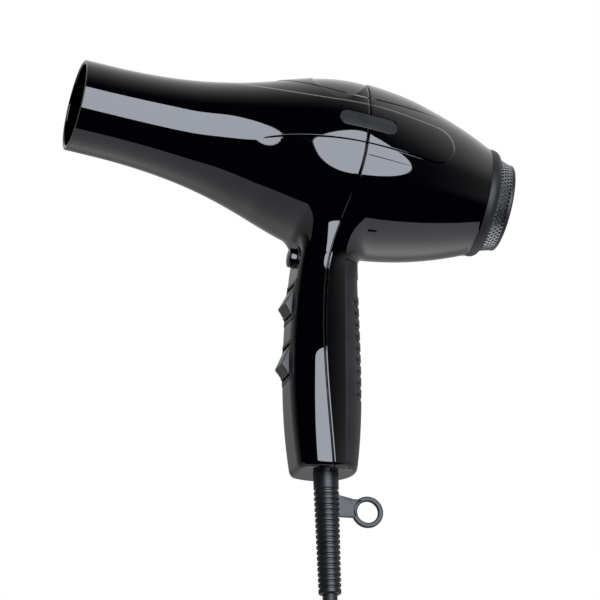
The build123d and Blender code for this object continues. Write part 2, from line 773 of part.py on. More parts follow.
def thermostat():
    """Disc thermostat held on the upright card behind the winding."""
    station = PLATE_REAR - THERMOSTAT_RADIUS - NOTCH_FIT
    side = -PLATE_THICKNESS / 2 - THERMOSTAT_LIFT
    disc = extrude(Circle(THERMOSTAT_RADIUS), THERMOSTAT_THICKNESS)
    return BARREL * Pos(station, side, THERMOSTAT_HEIGHT) * Rot(90, 0, 0) * disc


def air_guide():
    """Fan duct with straightening vanes that carry the motor cup."""
    inner_wall = belly_inside(DUCT_FRONT)
    duct = tube(DUCT_FRONT, DUCT_REAR, DUCT_RADIUS + DUCT_WALL, DUCT_RADIUS)
    flange = tube(DUCT_FRONT, DUCT_FRONT + DUCT_FLANGE, inner_wall - DUCT_FLANGE_FIT, DUCT_RADIUS)
    cup = tube(VANE_FRONT, VANE_REAR, MOTOR_RADIUS + CUP_FIT + CUP_WALL, MOTOR_RADIUS + CUP_FIT)
    vane = extrude(
        Plane.XY * Pos((VANE_FRONT + VANE_REAR) / 2, 0) * Rectangle(VANE_REAR - VANE_FRONT, VANE_THICKNESS),
        DUCT_RADIUS + DUCT_WALL / 2,
    )
    vane -= tube(VANE_FRONT, VANE_REAR, MOTOR_RADIUS + CUP_FIT + CUP_WALL / 2, 0)
    guide = duct + flange + cup
    for number in range(VANE_COUNT):
        guide += Rot(number * 360 / VANE_COUNT, 0, 0) * vane
    return BARREL * guide


def belly_inside(station):
    """Inside radius of the shells at a station of the flare."""
    return flare_radius(station) - WALL


def motor_can():
    """Drawn steel can, open at the front, with a bearing seat at the back."""
    can = tube(MOTOR_FRONT, MOTOR_REAR, MOTOR_RADIUS, MOTOR_RADIUS - MOTOR_WALL)
    floor = tube(MOTOR_REAR - MOTOR_WALL, MOTOR_REAR, MOTOR_RADIUS, BEARING_RADIUS)
    seat_end = MOTOR_REAR + BEARING_LENGTH - MOTOR_WALL
    seat = tube(MOTOR_REAR, seat_end, BEARING_RADIUS + MOTOR_WALL, BEARING_RADIUS)
    return BARREL * (can + floor + seat)


def motor_end_cap():
    """Moulded cap in the can's front, with a bearing seat and brush slots."""
    cap = tube(MOTOR_FRONT, MOTOR_FRONT + END_CAP_LENGTH, MOTOR_RADIUS - MOTOR_WALL, BEARING_RADIUS)
    return BARREL * cap


def bearing(start):
    """Sintered plain bearing on the motor shaft."""
    return BARREL * tube(start, start + BEARING_LENGTH, BEARING_RADIUS, SHAFT_RADIUS + SHAFT_FIT)


def magnets():
    """Two arc magnets against the inside of the can."""
    outer = MOTOR_RADIUS - MOTOR_WALL
    ring = tube(MAGNET_FRONT, MAGNET_REAR, outer, outer - MAGNET_THICKNESS)
    gap = Box(2 * MAGNET_REAR, 2 * MOTOR_RADIUS, 2 * outer * math.cos(math.radians(MAGNET_SPAN / 2)))
    return BARREL * (ring - gap)


def armature():
    """Slotted iron core on the shaft."""
    radius = MOTOR_RADIUS - MOTOR_WALL - MAGNET_THICKNESS - AIR_GAP
    plan = Circle(radius) - Circle(SHAFT_RADIUS)
    for number in range(ARMATURE_POLES):
        slot = Pos(radius - ARMATURE_SLOT_DEPTH / 2, 0) * SlotOverall(ARMATURE_SLOT_DEPTH, ARMATURE_SLOT)
        neck = Pos(radius, 0) * Rectangle(ARMATURE_SLOT_DEPTH, ARMATURE_SLOT / 2)
        plan -= Rot(0, 0, number * 360 / ARMATURE_POLES) * (slot + neck)
    return BARREL * extrude(Plane.YZ.offset(ARMATURE_FRONT) * plan, ARMATURE_REAR - ARMATURE_FRONT)


def commutator_start():
    """The commutator sits just behind the front bearing."""
    return MOTOR_FRONT + END_CAP_LENGTH + BRUSH_GAP


def commutator():
    """Copper commutator on the shaft."""
    start = commutator_start()
    return BARREL * tube(start, start + COMMUTATOR_LENGTH, COMMUTATOR_RADIUS, SHAFT_RADIUS)


def brushes():
    """Two carbon brushes beside the commutator."""
    pair = Part()
    station = commutator_start() + COMMUTATOR_LENGTH / 2
    inner = COMMUTATOR_RADIUS + BRUSH_GAP
    outer = MOTOR_RADIUS - MOTOR_WALL
    for side in (-1, 1):
        brush = Box(BRUSH_SIZE, outer - inner - BRUSH_GAP, BRUSH_SIZE)
        pair += Pos(station, side * (inner + outer - BRUSH_GAP) / 2, 0) * brush
    return BARREL * pair


def motor_shaft():
    """Ground shaft through motor and fan."""
    return BARREL * tube(SHAFT_FRONT, SHAFT_REAR, SHAFT_RADIUS, 0)


def blade_section(radius, angle, chord):
    """Cambered section of a fan blade, square to the radius."""
    half = chord / 2
    outer = BLADE_CAMBER + BLADE_THICKNESS / 2
    inner = BLADE_CAMBER - BLADE_THICKNESS / 2
    edges = [
        ThreePointArc((-half, 0), (0, outer), (half, 0)),
        ThreePointArc((half, 0), (0, inner), (-half, 0)),
    ]
    middle = FAN_FRONT + FAN_LENGTH / 2
    plane = Plane(origin=(middle, 0, radius), x_dir=(1, 0, 0), z_dir=(0, 0, 1))
    return plane * Rot(0, 0, angle) * make_face(edges)


def fan():
    """Axial fan: cupped hub and twisted, cambered blades."""
    hub = tube(FAN_FRONT, FAN_FRONT + FAN_LENGTH, HUB_RADIUS, HUB_RADIUS - HUB_WALL)
    crown = tube(FAN_FRONT + FAN_LENGTH - HUB_WALL, FAN_FRONT + FAN_LENGTH, HUB_RADIUS, SHAFT_RADIUS)
    boss = tube(FAN_FRONT + HUB_WALL, FAN_FRONT + FAN_LENGTH, SHAFT_RADIUS + HUB_WALL, SHAFT_RADIUS)
    wheel = hub + crown + boss
    root = HUB_RADIUS - HUB_WALL / 2
    sections = [
        blade_section(root, BLADE_ROOT_ANGLE, BLADE_ROOT_CHORD),
        blade_section(FAN_RADIUS + BLADE_TRIM, BLADE_TIP_ANGLE, BLADE_TIP_CHORD),
    ]
    blade = loft(sections) & tube(FAN_FRONT, FAN_FRONT + FAN_LENGTH, FAN_RADIUS, 0)
    for number in range(BLADE_COUNT):
        wheel += Rot(number * 360 / BLADE_COUNT, 0, 0) * blade
    return BARREL * wheel


def filter_ring():
    """Matte ring of the pull-off filter, with the sleeve that grips inside the tail."""
    start = TAIL_STATION + PARTING_GAP
    end = TAIL_STATION + FILTER_RING_LENGTH
    sleeve = TAIL_RADIUS - WALL - FILTER_SLEEVE_FIT
    edges = [
        Polyline(
            (start, sleeve),
            (start, TAIL_RADIUS - FILTER_STEP),
            (start + FILTER_RING_LENGTH / 3, TAIL_RADIUS - FILTER_STEP),
        ),
        ThreePointArc(
            (start + FILTER_RING_LENGTH / 3, TAIL_RADIUS - FILTER_STEP),
            (start + FILTER_RING_LENGTH / 2, FILTER_RING_END_RADIUS + FILTER_STEP),
            (end, FILTER_RING_END_RADIUS),
        ),
        Polyline(
            (end, FILTER_RING_END_RADIUS),
            (end, sleeve - FILTER_WALL),
            (TAIL_STATION - FILTER_SLEEVE_LENGTH, sleeve - FILTER_WALL),
            (TAIL_STATION - FILTER_SLEEVE_LENGTH, sleeve),
            (start, sleeve),
        ),
    ]
    return BARREL * turned(edges)


def band_start():
    """Station where the perforated band begins."""
    return TAIL_STATION + FILTER_RING_LENGTH


def filter_band():
    """Perforated steel band behind the ring."""
    start = band_start()
    end = start + BAND_LENGTH
    edges = [
        Polyline(
            (start, BAND_RADIUS),
            (end, BAND_END_RADIUS),
            (end, BAND_END_RADIUS - BAND_GAUGE),
            (start, BAND_RADIUS - BAND_GAUGE),
            (start, BAND_RADIUS),
        )
    ]
    holes = Part()
    hole = extrude(RegularPolygon(BAND_HOLE_RADIUS, 4), 2 * BAND_RADIUS)
    for row in range(BAND_ROWS):
        station = start + BAND_LENGTH * (row + 0.5) / BAND_ROWS
        for number in range(BAND_HOLES):
            turn = (number + 0.5 * (row % 2)) * 360 / BAND_HOLES
            holes += Rot(turn, 0, 0) * Pos(station, 0, 0) * hole
    return BARREL * (turned(edges) - holes)


def filter_rim():
    """Gloss end rim that closes the band."""
    start = band_start() + BAND_LENGTH
    end = start + RIM_LENGTH
    rim = tube(start, end, BAND_END_RADIUS, BAND_END_RADIUS - RIM_WIDTH)
    return BARREL * fillet(rim.edges().sort_by(Axis.X)[-1], RIM_LENGTH / 2)


def filter_end_mesh():
    """Perforated steel disc inside the end rim."""
    start = band_start() + BAND_LENGTH
    radius = BAND_END_RADIUS - RIM_WIDTH
    pitch = radius / (END_MESH_RINGS + 1)
    plan = Circle(radius)
    for ring in range(1, END_MESH_RINGS + 1):
        for number in range(6 * ring):
            place = Rot(0, 0, number * 60 / ring) * Pos(ring * pitch, 0)
            plan -= place * RegularPolygon(END_MESH_HOLE_RADIUS, 4)
    return BARREL * extrude(Plane.YZ.offset(start) * plan, END_MESH_GAUGE)


def guard_place():
    """Top of the cord guard at the handle's foot; -Z runs down the guard."""
    return Location((GUARD_X, 0, HANDLE_BOTTOM), (0, -GUARD_LEAN, 0))


def guard_radius(depth):
    """Outside radius of the guard at a depth below the handle."""
    return GUARD_RADIUS + (GUARD_END_RADIUS - GUARD_RADIUS) * depth / GUARD_LENGTH


def cord_guard():
    """Ribbed strain relief with a flange inside the handle and a hanging eye on its back."""
    low = (Align.CENTER, Align.CENTER, Align.MIN)
    guard = Pos(0, 0, -GUARD_LENGTH) * Cone(GUARD_END_RADIUS, GUARD_RADIUS, GUARD_LENGTH, align=low)
    neck = Cylinder(GUARD_RADIUS, GUARD_INSIDE, align=low)
    flange = Pos(0, 0, WALL + GUARD_SEAT) * Cylinder(GUARD_FLANGE_RADIUS, GUARD_FLANGE, align=low)
    guard = guard + neck + flange
    depth = GUARD_PLAIN + GUARD_GROOVE
    while depth < GUARD_LENGTH - GUARD_GROOVE:
        ring = Circle(GUARD_RADIUS + GUARD_GROOVE) - Circle(guard_radius(depth) - GUARD_GROOVE_DEPTH)
        guard -= Pos(0, 0, -depth) * extrude(ring, GUARD_GROOVE / 2, both=True)
        depth += GUARD_RIB_PITCH
    bore = Pos(0, 0, -2 * GUARD_LENGTH) * Cylinder(
        CORD_DIAMETER / 2 + GUARD_BORE_FIT, 4 * GUARD_LENGTH, align=low
    )
    return guard_place() * guard + hang_loop() - guard_place() * bore


def hang_loop():
    """Flat web and round eye on the back of the guard, for hanging the dryer up."""
    edges = [
        ThreePointArc(
            (GUARD_X, LOOP_TOP_Z),
            ((GUARD_X + LOOP_NECK_X) / 2, (LOOP_TOP_Z + 2 * LOOP_NECK_TOP_Z) / 3),
            (LOOP_NECK_X, LOOP_NECK_TOP_Z),
        ),
        Polyline(
            (LOOP_NECK_X, LOOP_NECK_TOP_Z),
            (LOOP_HOLE_X, LOOP_NECK_TOP_Z),
            (LOOP_HOLE_X, LOOP_FOOT_Z),
            (GUARD_X, LOOP_FOOT_Z),
            (GUARD_X, LOOP_TOP_Z),
        ),
    ]
    eye = Pos(LOOP_HOLE_X, LOOP_HOLE_Z)
    plan = make_face(edges) + eye * Circle(LOOP_RADIUS) - eye * Circle(LOOP_HOLE_RADIUS)
    return extrude(Plane.XZ * plan, LOOP_THICKNESS / 2, both=True)


def cord_clamp():
    """Clamp block above the guard's flange that grips the cord inside the handle."""
    case = extrude(RectangleRounded(CLAMP_DEPTH, CLAMP_WIDTH, CLAMP_CORNER), CLAMP_HEIGHT)
    block_place = guard_place() * Pos(0, 0, WALL + GUARD_INSIDE - GUARD_FLANGE)
    return block_place * (case - extrude(Circle(CORD_DIAMETER / 2 + GUARD_BORE_FIT), CLAMP_HEIGHT))


def cord_inner_run():
    """The cord's end inside the guard, up through the clamp."""
    reach = GUARD_LENGTH + WALL + GUARD_INSIDE + CLAMP_HEIGHT
    low = (Align.CENTER, Align.CENTER, Align.MIN)
    return guard_place() * Pos(0, 0, -GUARD_LENGTH) * Cylinder(CORD_DIAMETER / 2, reach, align=low)


def cord_lead():
    """Hanging stretch of the cord from the guard's end to the coil."""
    points = [Vector(*point) for point in CORD_POINTS]
    runs = [after - before for before, after in zip(points, points[1:])]
    radii = []
    for near, far in zip(runs, runs[1:]):
        turn = math.radians(near.get_angle(far))
        radii.append(ARC_SHARE * min(near.length, far.length) / math.tan(turn / 2))
    path = FilletPolyline(*points, radius=radii)
    lead = sweep(Plane(points[0], z_dir=runs[0]) * Circle(CORD_DIAMETER / 2), path)
    print("cord radii", [round(radius, 1) for radius in radii])
    section = math.pi * (CORD_DIAMETER / 2) ** 2
    print("cord length", round(path.length, 1))
    print("volume share", round(lead.volume / (section * path.length), 4))
    return lead


def cord_coil():
    """Outer shape of the wound length of cord, hanging under the guard."""
    ring = Torus(COIL_MEAN_RADIUS, COIL_BUNDLE_RADIUS)
    return Pos(COIL_CENTRE_X, 0, COIL_CENTRE_Z) * Rot(90, 0, 0) * ring


def cord_tie():
    """Strap round the top of the coil."""
    inner = COIL_BUNDLE_RADIUS + TIE_FIT
    strap = tube(-TIE_WIDTH / 2, TIE_WIDTH / 2, inner + TIE_THICKNESS, inner)
    return Pos(COIL_CENTRE_X, 0, COIL_CENTRE_Z + COIL_MEAN_RADIUS) * strap


def plug_place():
    """Foot of the plug's tail beside the coil; +Z runs to the pins."""
    offset = COIL_MEAN_RADIUS + COIL_BUNDLE_RADIUS + PLUG_FIT + PLUG_TAIL_RADIUS
    return Location((COIL_CENTRE_X + offset, 0, COIL_CENTRE_Z - PLUG_TAIL_DROP))


def plug_body():
    """Moulded plug body with a round tail."""
    low = (Align.CENTER, Align.CENTER, Align.MIN)
    tail = Cylinder(PLUG_TAIL_RADIUS, PLUG_TAIL + PLUG_NOSE, align=low)
    case = extrude(RectangleRounded(PLUG_WIDTH, PLUG_THICKNESS, PLUG_CORNER), PLUG_LENGTH)
    case = fillet(case.faces().sort_by(Axis.Z)[0].edges(), PLUG_NOSE)
    return plug_place() * (tail + Pos(0, 0, PLUG_TAIL) * case)


def plug_pins():
    """Two flat blades of the plug."""
    pins = Part()
    for side in (-1, 1):
        blade = extrude(Rectangle(PIN_GAUGE, PIN_WIDTH), PIN_LENGTH)
        pins += Pos(side * PIN_SPACING / 2, 0, PLUG_TAIL + PLUG_LENGTH) * chamfer(
            blade.faces().sort_by(Axis.Z)[-1].edges().filter_by(Axis.Y), PIN_GAUGE / 3
        )
    return plug_place() * pins


def housing_shells():
    """Front and rear moulded shells, parted at the seam."""
    outside = housing_form()
    inside = BARREL * barrel_form(WALL, 1, 1) + handle_form(WALL, HANDLE_BOTTOM + WALL)
    shell = outside - inside
    shell += screw_posts(inside)
    shell -= screw_bores()
    shell -= BARREL * (badge_prism(0) - barrel_form(BADGE_DEPTH + BADGE_FIT, rise=PANEL_RISE))
    shell -= strip_zone(0) - handle_form(STRIP_DEPTH, HANDLE_BOTTOM)
    shell -= switch_windows()
    shell -= button_place() * tube(0, collar_back(), COLLAR_RADIUS - COLLAR_STEP + COLLAR_FIT, 0)
    shell -= button_place() * tube(0, button_face_depth(), COLLAR_RADIUS + COLLAR_FIT, 0)
    shell -= guard_place() * Cylinder(GUARD_RADIUS + GUARD_FIT, 4 * WALL)
    return shell - seam_zone(-PARTING_GAP / 2), shell & seam_zone(PARTING_GAP / 2)


def main():
    """Build every piece and write it out."""
    front, rear = housing_shells()
    left_badge, right_badge = badges()
    upright_slot = (PLATE_FRONT + PLATE_REAR) / 2
    pieces = {
        "front_housing": front,
        "rear_housing": rear,
        "left_badge_inset": left_badge,
        "right_badge_inset": right_badge,
        "grip_strip": grip_strip(),
        "nozzle_grille": grille(),
        "mica_tube": mica_tube(),
        "mica_card_upright": mica_plate(0, PLATE_FRONT, upright_slot),
        "mica_card_level": mica_plate(90, upright_slot, PLATE_REAR),
        "heating_coil": heating_coil(),
        "thermostat": thermostat(),
        "air_guide": air_guide(),
        "motor_can": motor_can(),
        "motor_end_cap": motor_end_cap(),
        "front_bearing": bearing(MOTOR_FRONT),
        "rear_bearing": bearing(MOTOR_REAR - MOTOR_WALL),
        "motor_magnets": magnets(),
        "motor_brushes": brushes(),
        "motor_shaft": motor_shaft(),
        "armature": armature(),
        "commutator": commutator(),
        "fan": fan(),
        "filter_ring": filter_ring(),
        "filter_band": filter_band(),
        "filter_rim": filter_rim(),
        "filter_end_mesh": filter_end_mesh(),
        "handle_screws": screws(),
        "speed_bezel": bezel(SPEED_HEIGHT),
        "heat_bezel": bezel(HEAT_HEIGHT),
        "speed_switch_body": switch_body(SPEED_HEIGHT),
        "heat_switch_body": switch_body(HEAT_HEIGHT),
        "switch_terminals": switch_terminals(),
        "speed_rocker": rocker(SPEED_HEIGHT),
        "heat_rocker": rocker(HEAT_HEIGHT),
        "cool_shot_button": cool_shot_button(),
        "cool_shot_collar": button_collar(),
        "cool_shot_switch": cool_shot_switch(),
        "cool_shot_spring": button_spring(),
        "cord_guard": cord_guard(),
        "cord_clamp": cord_clamp(),
        "cord_inner_run": cord_inner_run(),
        "cord_lead": cord_lead(),
        "cord_coil": cord_coil(),
        "cord_tie": cord_tie(),
        "plug_body": plug_body(),
        "plug_pins": plug_pins(),
    }
    os.makedirs("parts", exist_ok=True)
    for name, piece in pieces.items():
        export_step(piece, "parts/" + name + ".step")


if __name__ == "__main__":
    main()
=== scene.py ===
"""Hand-held hair dryer with a gloss casing, a pistol grip, a pull-off filter and a coiled lead.

Sizes are millimetres until a mesh is made. +X points to the rear of the dryer, +Z up the handle
and Y is the width. The barrel leans nose-up, so its surfaces are worked out along a barrel axis,
where a station is the distance behind the nozzle rim.
"""

from __future__ import annotations

import json
import logging
import math
from collections.abc import Sequence
from dataclasses import dataclass
from enum import Enum

import bmesh
import bpy
import numpy as np
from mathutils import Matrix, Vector


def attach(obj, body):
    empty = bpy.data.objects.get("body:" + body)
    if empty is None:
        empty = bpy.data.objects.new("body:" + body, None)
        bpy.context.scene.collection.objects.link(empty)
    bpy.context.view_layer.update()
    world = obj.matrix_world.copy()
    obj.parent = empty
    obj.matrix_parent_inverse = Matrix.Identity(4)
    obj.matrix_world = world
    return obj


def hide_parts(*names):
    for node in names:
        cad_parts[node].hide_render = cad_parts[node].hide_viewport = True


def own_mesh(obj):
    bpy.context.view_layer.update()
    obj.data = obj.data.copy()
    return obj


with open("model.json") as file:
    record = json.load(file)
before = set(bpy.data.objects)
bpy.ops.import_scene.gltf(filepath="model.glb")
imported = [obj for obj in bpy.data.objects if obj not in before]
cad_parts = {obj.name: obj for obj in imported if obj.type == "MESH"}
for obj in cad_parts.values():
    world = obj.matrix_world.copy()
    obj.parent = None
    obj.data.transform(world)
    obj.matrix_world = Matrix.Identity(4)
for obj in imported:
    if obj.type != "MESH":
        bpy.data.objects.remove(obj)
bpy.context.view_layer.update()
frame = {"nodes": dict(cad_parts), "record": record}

LOG = logging.getLogger("hair_dryer")
MM = 0.001
TINY = 1e-6
QUARTER = math.pi / 2
TABLE_STEPS = 1200
MERGE = 2e-6
CLOSE = 1e-7
Array = np.ndarray


# ---- numbers on grids -------------------------------------------------------------------------


def ease(share: Array | float) -> Array:
    """Smooth step: 3t^2 - 2t^3 of a share held between 0 and 1."""
    held = np.clip(share, 0.0, 1.0)
    return held * held * (3.0 - 2.0 * held)


def within(value: Array, start: float, fade_in: float, end: float, fade_out: float) -> Array:
    """Share that eases up from the start over a fade, and down to the end over another."""
    return ease((value - start) / fade_in) * ease((end - value) / fade_out)


def spline_table(knots: Sequence[Sequence[float]], start: float, end: float) -> Array:
    """Cubic through knots with given end slopes, sampled finely.

    The formula is the usual clamped cubic: the slopes at the knots solve the three-term equations
    that make the second derivative continuous, and each span is then a Hermite cubic.

    Args:
        knots: Pairs of position and value, with rising positions.
        start: Slope at the first knot.
        end: Slope at the last knot.

    Returns:
        Two rows, positions and values, for linear look-up.
    """
    x, y = np.array(knots, float).T
    width = np.diff(x)
    rise = np.diff(y) / width
    count = len(x)
    matrix = np.eye(count)
    right = np.zeros(count)
    right[0], right[-1] = start, end
    for k in range(1, count - 1):
        before, after = width[k - 1], width[k]
        matrix[k, k - 1 : k + 2] = after, 2 * (before + after), before
        right[k] = 3 * (after * rise[k - 1] + before * rise[k])
    slope = np.linalg.solve(matrix, right)
    at = np.linspace(x[0], x[-1], TABLE_STEPS)
    k = np.clip(np.searchsorted(x, at, side="right") - 1, 0, count - 2)
    t = (at - x[k]) / width[k]
    places = (2 * t**3 - 3 * t**2 + 1) * y[k] + (3 * t**2 - 2 * t**3) * y[k + 1]
    slopes = (t**3 - 2 * t**2 + t) * slope[k] + (t**3 - t**2) * slope[k + 1]
    return np.stack([at, places + width[k] * slopes])


def ring_outline(
    width: float, height: float, corner: float, steps: int = 5, sides: int = 0
) -> Array:
    """Rounded rectangle about the origin: four quarter arcs joined by straight sides.

    Args:
        width: Full size along the first axis.
        height: Full size along the second axis.
        corner: Corner radius.
        steps: Spans in each quarter arc.
        sides: Extra points on each straight side.

    Returns:
        Points in order round the outline, counter-clockwise, with two columns.
    """
    turn = np.linspace(0, QUARTER, steps + 1)
    arcs = []
    for quarter, (side, top) in enumerate(((1, 1), (-1, 1), (-1, -1), (1, -1))):
        angle = turn + quarter * QUARTER
        centre = np.array([side * (width / 2 - corner), top * (height / 2 - corner)])
        arcs.append(centre + corner * np.stack([np.cos(angle), np.sin(angle)], axis=1))
    share = np.linspace(0, 1, sides + 2)[1:-1, None]
    runs = [(1 - share) * a[-1] + share * b[0] for a, b in zip(arcs, arcs[1:] + arcs[:1])]
    return np.concatenate([part for pair in zip(arcs, runs) for part in pair])


def shrunk(sizes: Sequence[float], inset: float, steps: int, sides: int) -> Array:
    """Rounded rectangle of a width, height and corner radius, drawn in on all sides by an inset."""
    width, height, corner = sizes
    return ring_outline(width - 2 * inset, height - 2 * inset, corner - inset, steps, sides)


def rounded_path(points: Sequence[Sequence[float]], radius: Sequence[float], steps: int) -> Array:
    """Closed polyline whose corners are replaced by arcs.

    Each corner is cut back by radius / tan(half its angle) along both runs, and the arc between the
    two cuts is drawn as a circle about the point on the bisector.

    Args:
        points: Corners in order.
        radius: Arc radius at each corner, 0 for a sharp one.
        steps: Spans in each arc.

    Returns:
        Points with two columns.
    """
    corner = np.array(points, float)
    out = []
    for k, bend in enumerate(radius):
        here = corner[k]
        if bend <= 0:
            out.append(here[None])
            continue
        runs = corner[k - 1] - here, corner[(k + 1) % len(corner)] - here
        before, after = (run / np.linalg.norm(run) for run in runs)
        half = math.acos(float(np.clip(before @ after, -1, 1))) / 2
        cut = bend / math.tan(half)
        middle = before + after
        centre = here + middle / np.linalg.norm(middle) * (bend / math.sin(half))
        share = np.linspace(0, 1, steps + 1)[:, None]
        chord = here + cut * ((1 - share) * before + share * after) - centre
        out.append(centre + bend * chord / np.linalg.norm(chord, axis=1, keepdims=True))
    return np.concatenate(out)


def resample(path: Array, spacing: float) -> Array:
    """Closed path with extra points on its long runs, none longer than the spacing."""
    nxt = np.roll(path, -1, axis=0)
    parts = []
    for here, there in zip(path, nxt):
        count = max(1, int(np.ceil(np.linalg.norm(there - here) / spacing)))
        share = np.arange(count)[:, None] / count
        parts.append(here + share * (there - here))
    return np.concatenate(parts)


def arc(
    along: float,
    radius: float,
    bend: float | tuple[float, float],
    start: float,
    end: float,
    steps: int,
) -> Array:
    """Part of a turned profile that runs round a circle or ellipse.

    A point at angle a is the middle plus the bend times (cos a, sin a), as depth and radius.

    Args:
        along: Depth of the circle's middle.
        radius: Radius of its middle about the piece's axis.
        bend: Radius of the circle, or its two half axes.
        start: First angle, in quarter turns.
        end: Last angle, in quarter turns.
        steps: Number of points.

    Returns:
        Points with two columns, depth and radius.
    """
    deep, wide = bend if isinstance(bend, tuple) else (bend, bend)
    turn = np.linspace(start, end, steps) * QUARTER
    return np.stack([along + deep * np.cos(turn), radius + wide * np.sin(turn)], axis=1)


def quads(rows: int, columns: int, wrap: bool) -> Array:
    """Four corner numbers of each cell of a grid, row by row."""
    r = np.arange(rows - 1)[:, None]
    c = np.arange(columns if wrap else columns - 1)[None, :]
    n = (c + 1) % columns
    cells = [r * columns + c, r * columns + n, (r + 1) * columns + n, (r + 1) * columns + c]
    return np.stack(np.broadcast_arrays(*cells), axis=-1).reshape(-1, 4)


# ---- mesh making ------------------------------------------------------------------------------


class Skin:
    """Points and faces of one piece, gathered from surfaces worked out on grids."""

    def __init__(self, name: str) -> None:
        """Start an empty piece of that name."""
        self.name = name
        self.points: list[Array] = []
        self.faces: list[Array] = []
        self.count = 0

    def add(self, points: Array, faces: Array) -> None:
        """Add loose points and the faces that join them, numbered from 0."""
        self.points.append(points.reshape(-1, 3))
        self.faces.append(faces + self.count)
        self.count += len(self.points[-1])

    def grid(self, points: Array, wrap: bool = False) -> None:
        """Add a surface given as rows and columns of points, closed across its columns if wrap."""
        rows, columns = points.shape[:2]
        self.add(points, quads(rows, columns, wrap))

    def cap(self, ring: Array) -> None:
        """Close a ring of points with a fan about its middle."""
        count = len(ring)
        k = np.arange(count)
        fan = np.stack([k, (k + 1) % count, np.full(count, count)], axis=1)
        self.add(np.concatenate([ring, ring.mean(axis=0, keepdims=True)]), fan)

    def loft(self, rings: Sequence[Array], caps: bool = True) -> None:
        """Add the surface through rings with as many points each, closed at both ends if caps."""
        self.grid(np.stack(rings), wrap=True)
        if caps:
            self.cap(rings[0])
            self.cap(rings[-1])

    def pierced(self, layers: Sequence[Array], flip: bool) -> None:
        """Add many walled holes at once.

        Args:
            layers: Rings of each hole in the order that its wall passes them, as holes by points.
            flip: Whether the faces are wound the other way.
        """
        points = np.stack(layers, axis=1)
        holes, rings, sides = points.shape[:3]
        wall = quads(rings, sides, True)
        wall = wall[:, ::-1] if flip else wall
        skip = (np.arange(holes) * rings * sides)[:, None, None]
        self.add(points, (wall[None] + skip).reshape(-1, 4))

    def mesh(self) -> bpy.types.Mesh:
        """Blender mesh of all surfaces, in metres, with shared edges merged."""
        mesh = bpy.data.meshes.new(self.name)
        points = np.concatenate(self.points) * MM
        corners = np.concatenate([f.ravel() for f in self.faces]).astype(np.int32)
        sizes = np.concatenate([np.full(len(f), f.shape[1]) for f in self.faces])
        starts = np.concatenate([[0], np.cumsum(sizes)[:-1]]).astype(np.int32)
        mesh.vertices.add(len(points))
        mesh.loops.add(len(corners))
        mesh.polygons.add(len(sizes))
        mesh.vertices.foreach_set("co", points.astype(np.float32).ravel())
        mesh.loops.foreach_set("vertex_index", corners)
        mesh.polygons.foreach_set("loop_start", starts)
        mesh.update(calc_edges=True)
        mesh.validate()
        return mesh

    def piece(self, closed: bool = True, crease: float = 35.0) -> bpy.types.Object:
        """Finished object of the skin.

        Args:
            closed: Whether the surfaces close, so that their outside can be worked out.
            crease: Angle in degrees past which an edge is drawn sharp.

        Returns:
            The new object, at the origin.
        """
        mesh = self.mesh()
        work = bmesh.new()
        work.from_mesh(mesh)
        bmesh.ops.remove_doubles(work, verts=work.verts, dist=MERGE)
        bmesh.ops.dissolve_degenerate(work, edges=work.edges, dist=CLOSE)
        if closed:
            bmesh.ops.recalc_face_normals(work, faces=work.faces)
        work.to_mesh(mesh)
        work.free()
        mesh.shade_smooth()
        mesh.set_sharp_from_angle(angle=math.radians(crease))
        return link(bpy.data.objects.new(self.name, mesh))


def link(piece: bpy.types.Object) -> bpy.types.Object:
    """Put an object into the scene and return it."""
    bpy.context.scene.collection.objects.link(piece)
    return piece


# ---- forms of the casing ----------------------------------------------------------------------


@dataclass(frozen=True)
class Spot:
    """A place on the dryer with an axis of its own, from which pieces are laid out."""

    x: float
    z: float
    lean: float

    def place(self, depth: Array | float, across: Array | float, over: Array | float) -> Array:
        """Dryer coordinates of points given along the axis, across it and over it."""
        c, s = math.cos(self.lean), math.sin(self.lean)
        x = self.x + depth * c + over * s
        z = self.z - depth * s + over * c
        return np.stack(np.broadcast_arrays(x, across, z), axis=-1)

    def locate(self, points: Array) -> tuple[Array, Array, Array]:
        """Depth, across and over of points in dryer coordinates."""
        c, s = math.cos(self.lean), math.sin(self.lean)
        x, z = points[..., 0] - self.x, points[..., 2] - self.z
        return x * c - z * s, points[..., 1], x * s + z * c

    def turned(self, profile: Array | Sequence[Sequence[float]], count: int = 64) -> Array:
        """Grid of a profile of depth and radius turned about the axis.

        A point at angle a is the profile's radius times (cos a, sin a) across and over the axis.
        """
        angle = np.radians(np.arange(count) * 360 / count)
        depth, radius = np.split(np.asarray(profile), 2, axis=1)
        return self.place(depth + 0 * angle, radius * np.cos(angle), radius * np.sin(angle))

    def turned_piece(
        self, name: str, profile: Array | Sequence[Sequence[float]], count: int = 64
    ) -> bpy.types.Object:
        """Closed piece of that name turned about the axis."""
        skin = Skin(name)
        skin.grid(self.turned(profile, count), wrap=True)
        return skin.piece()


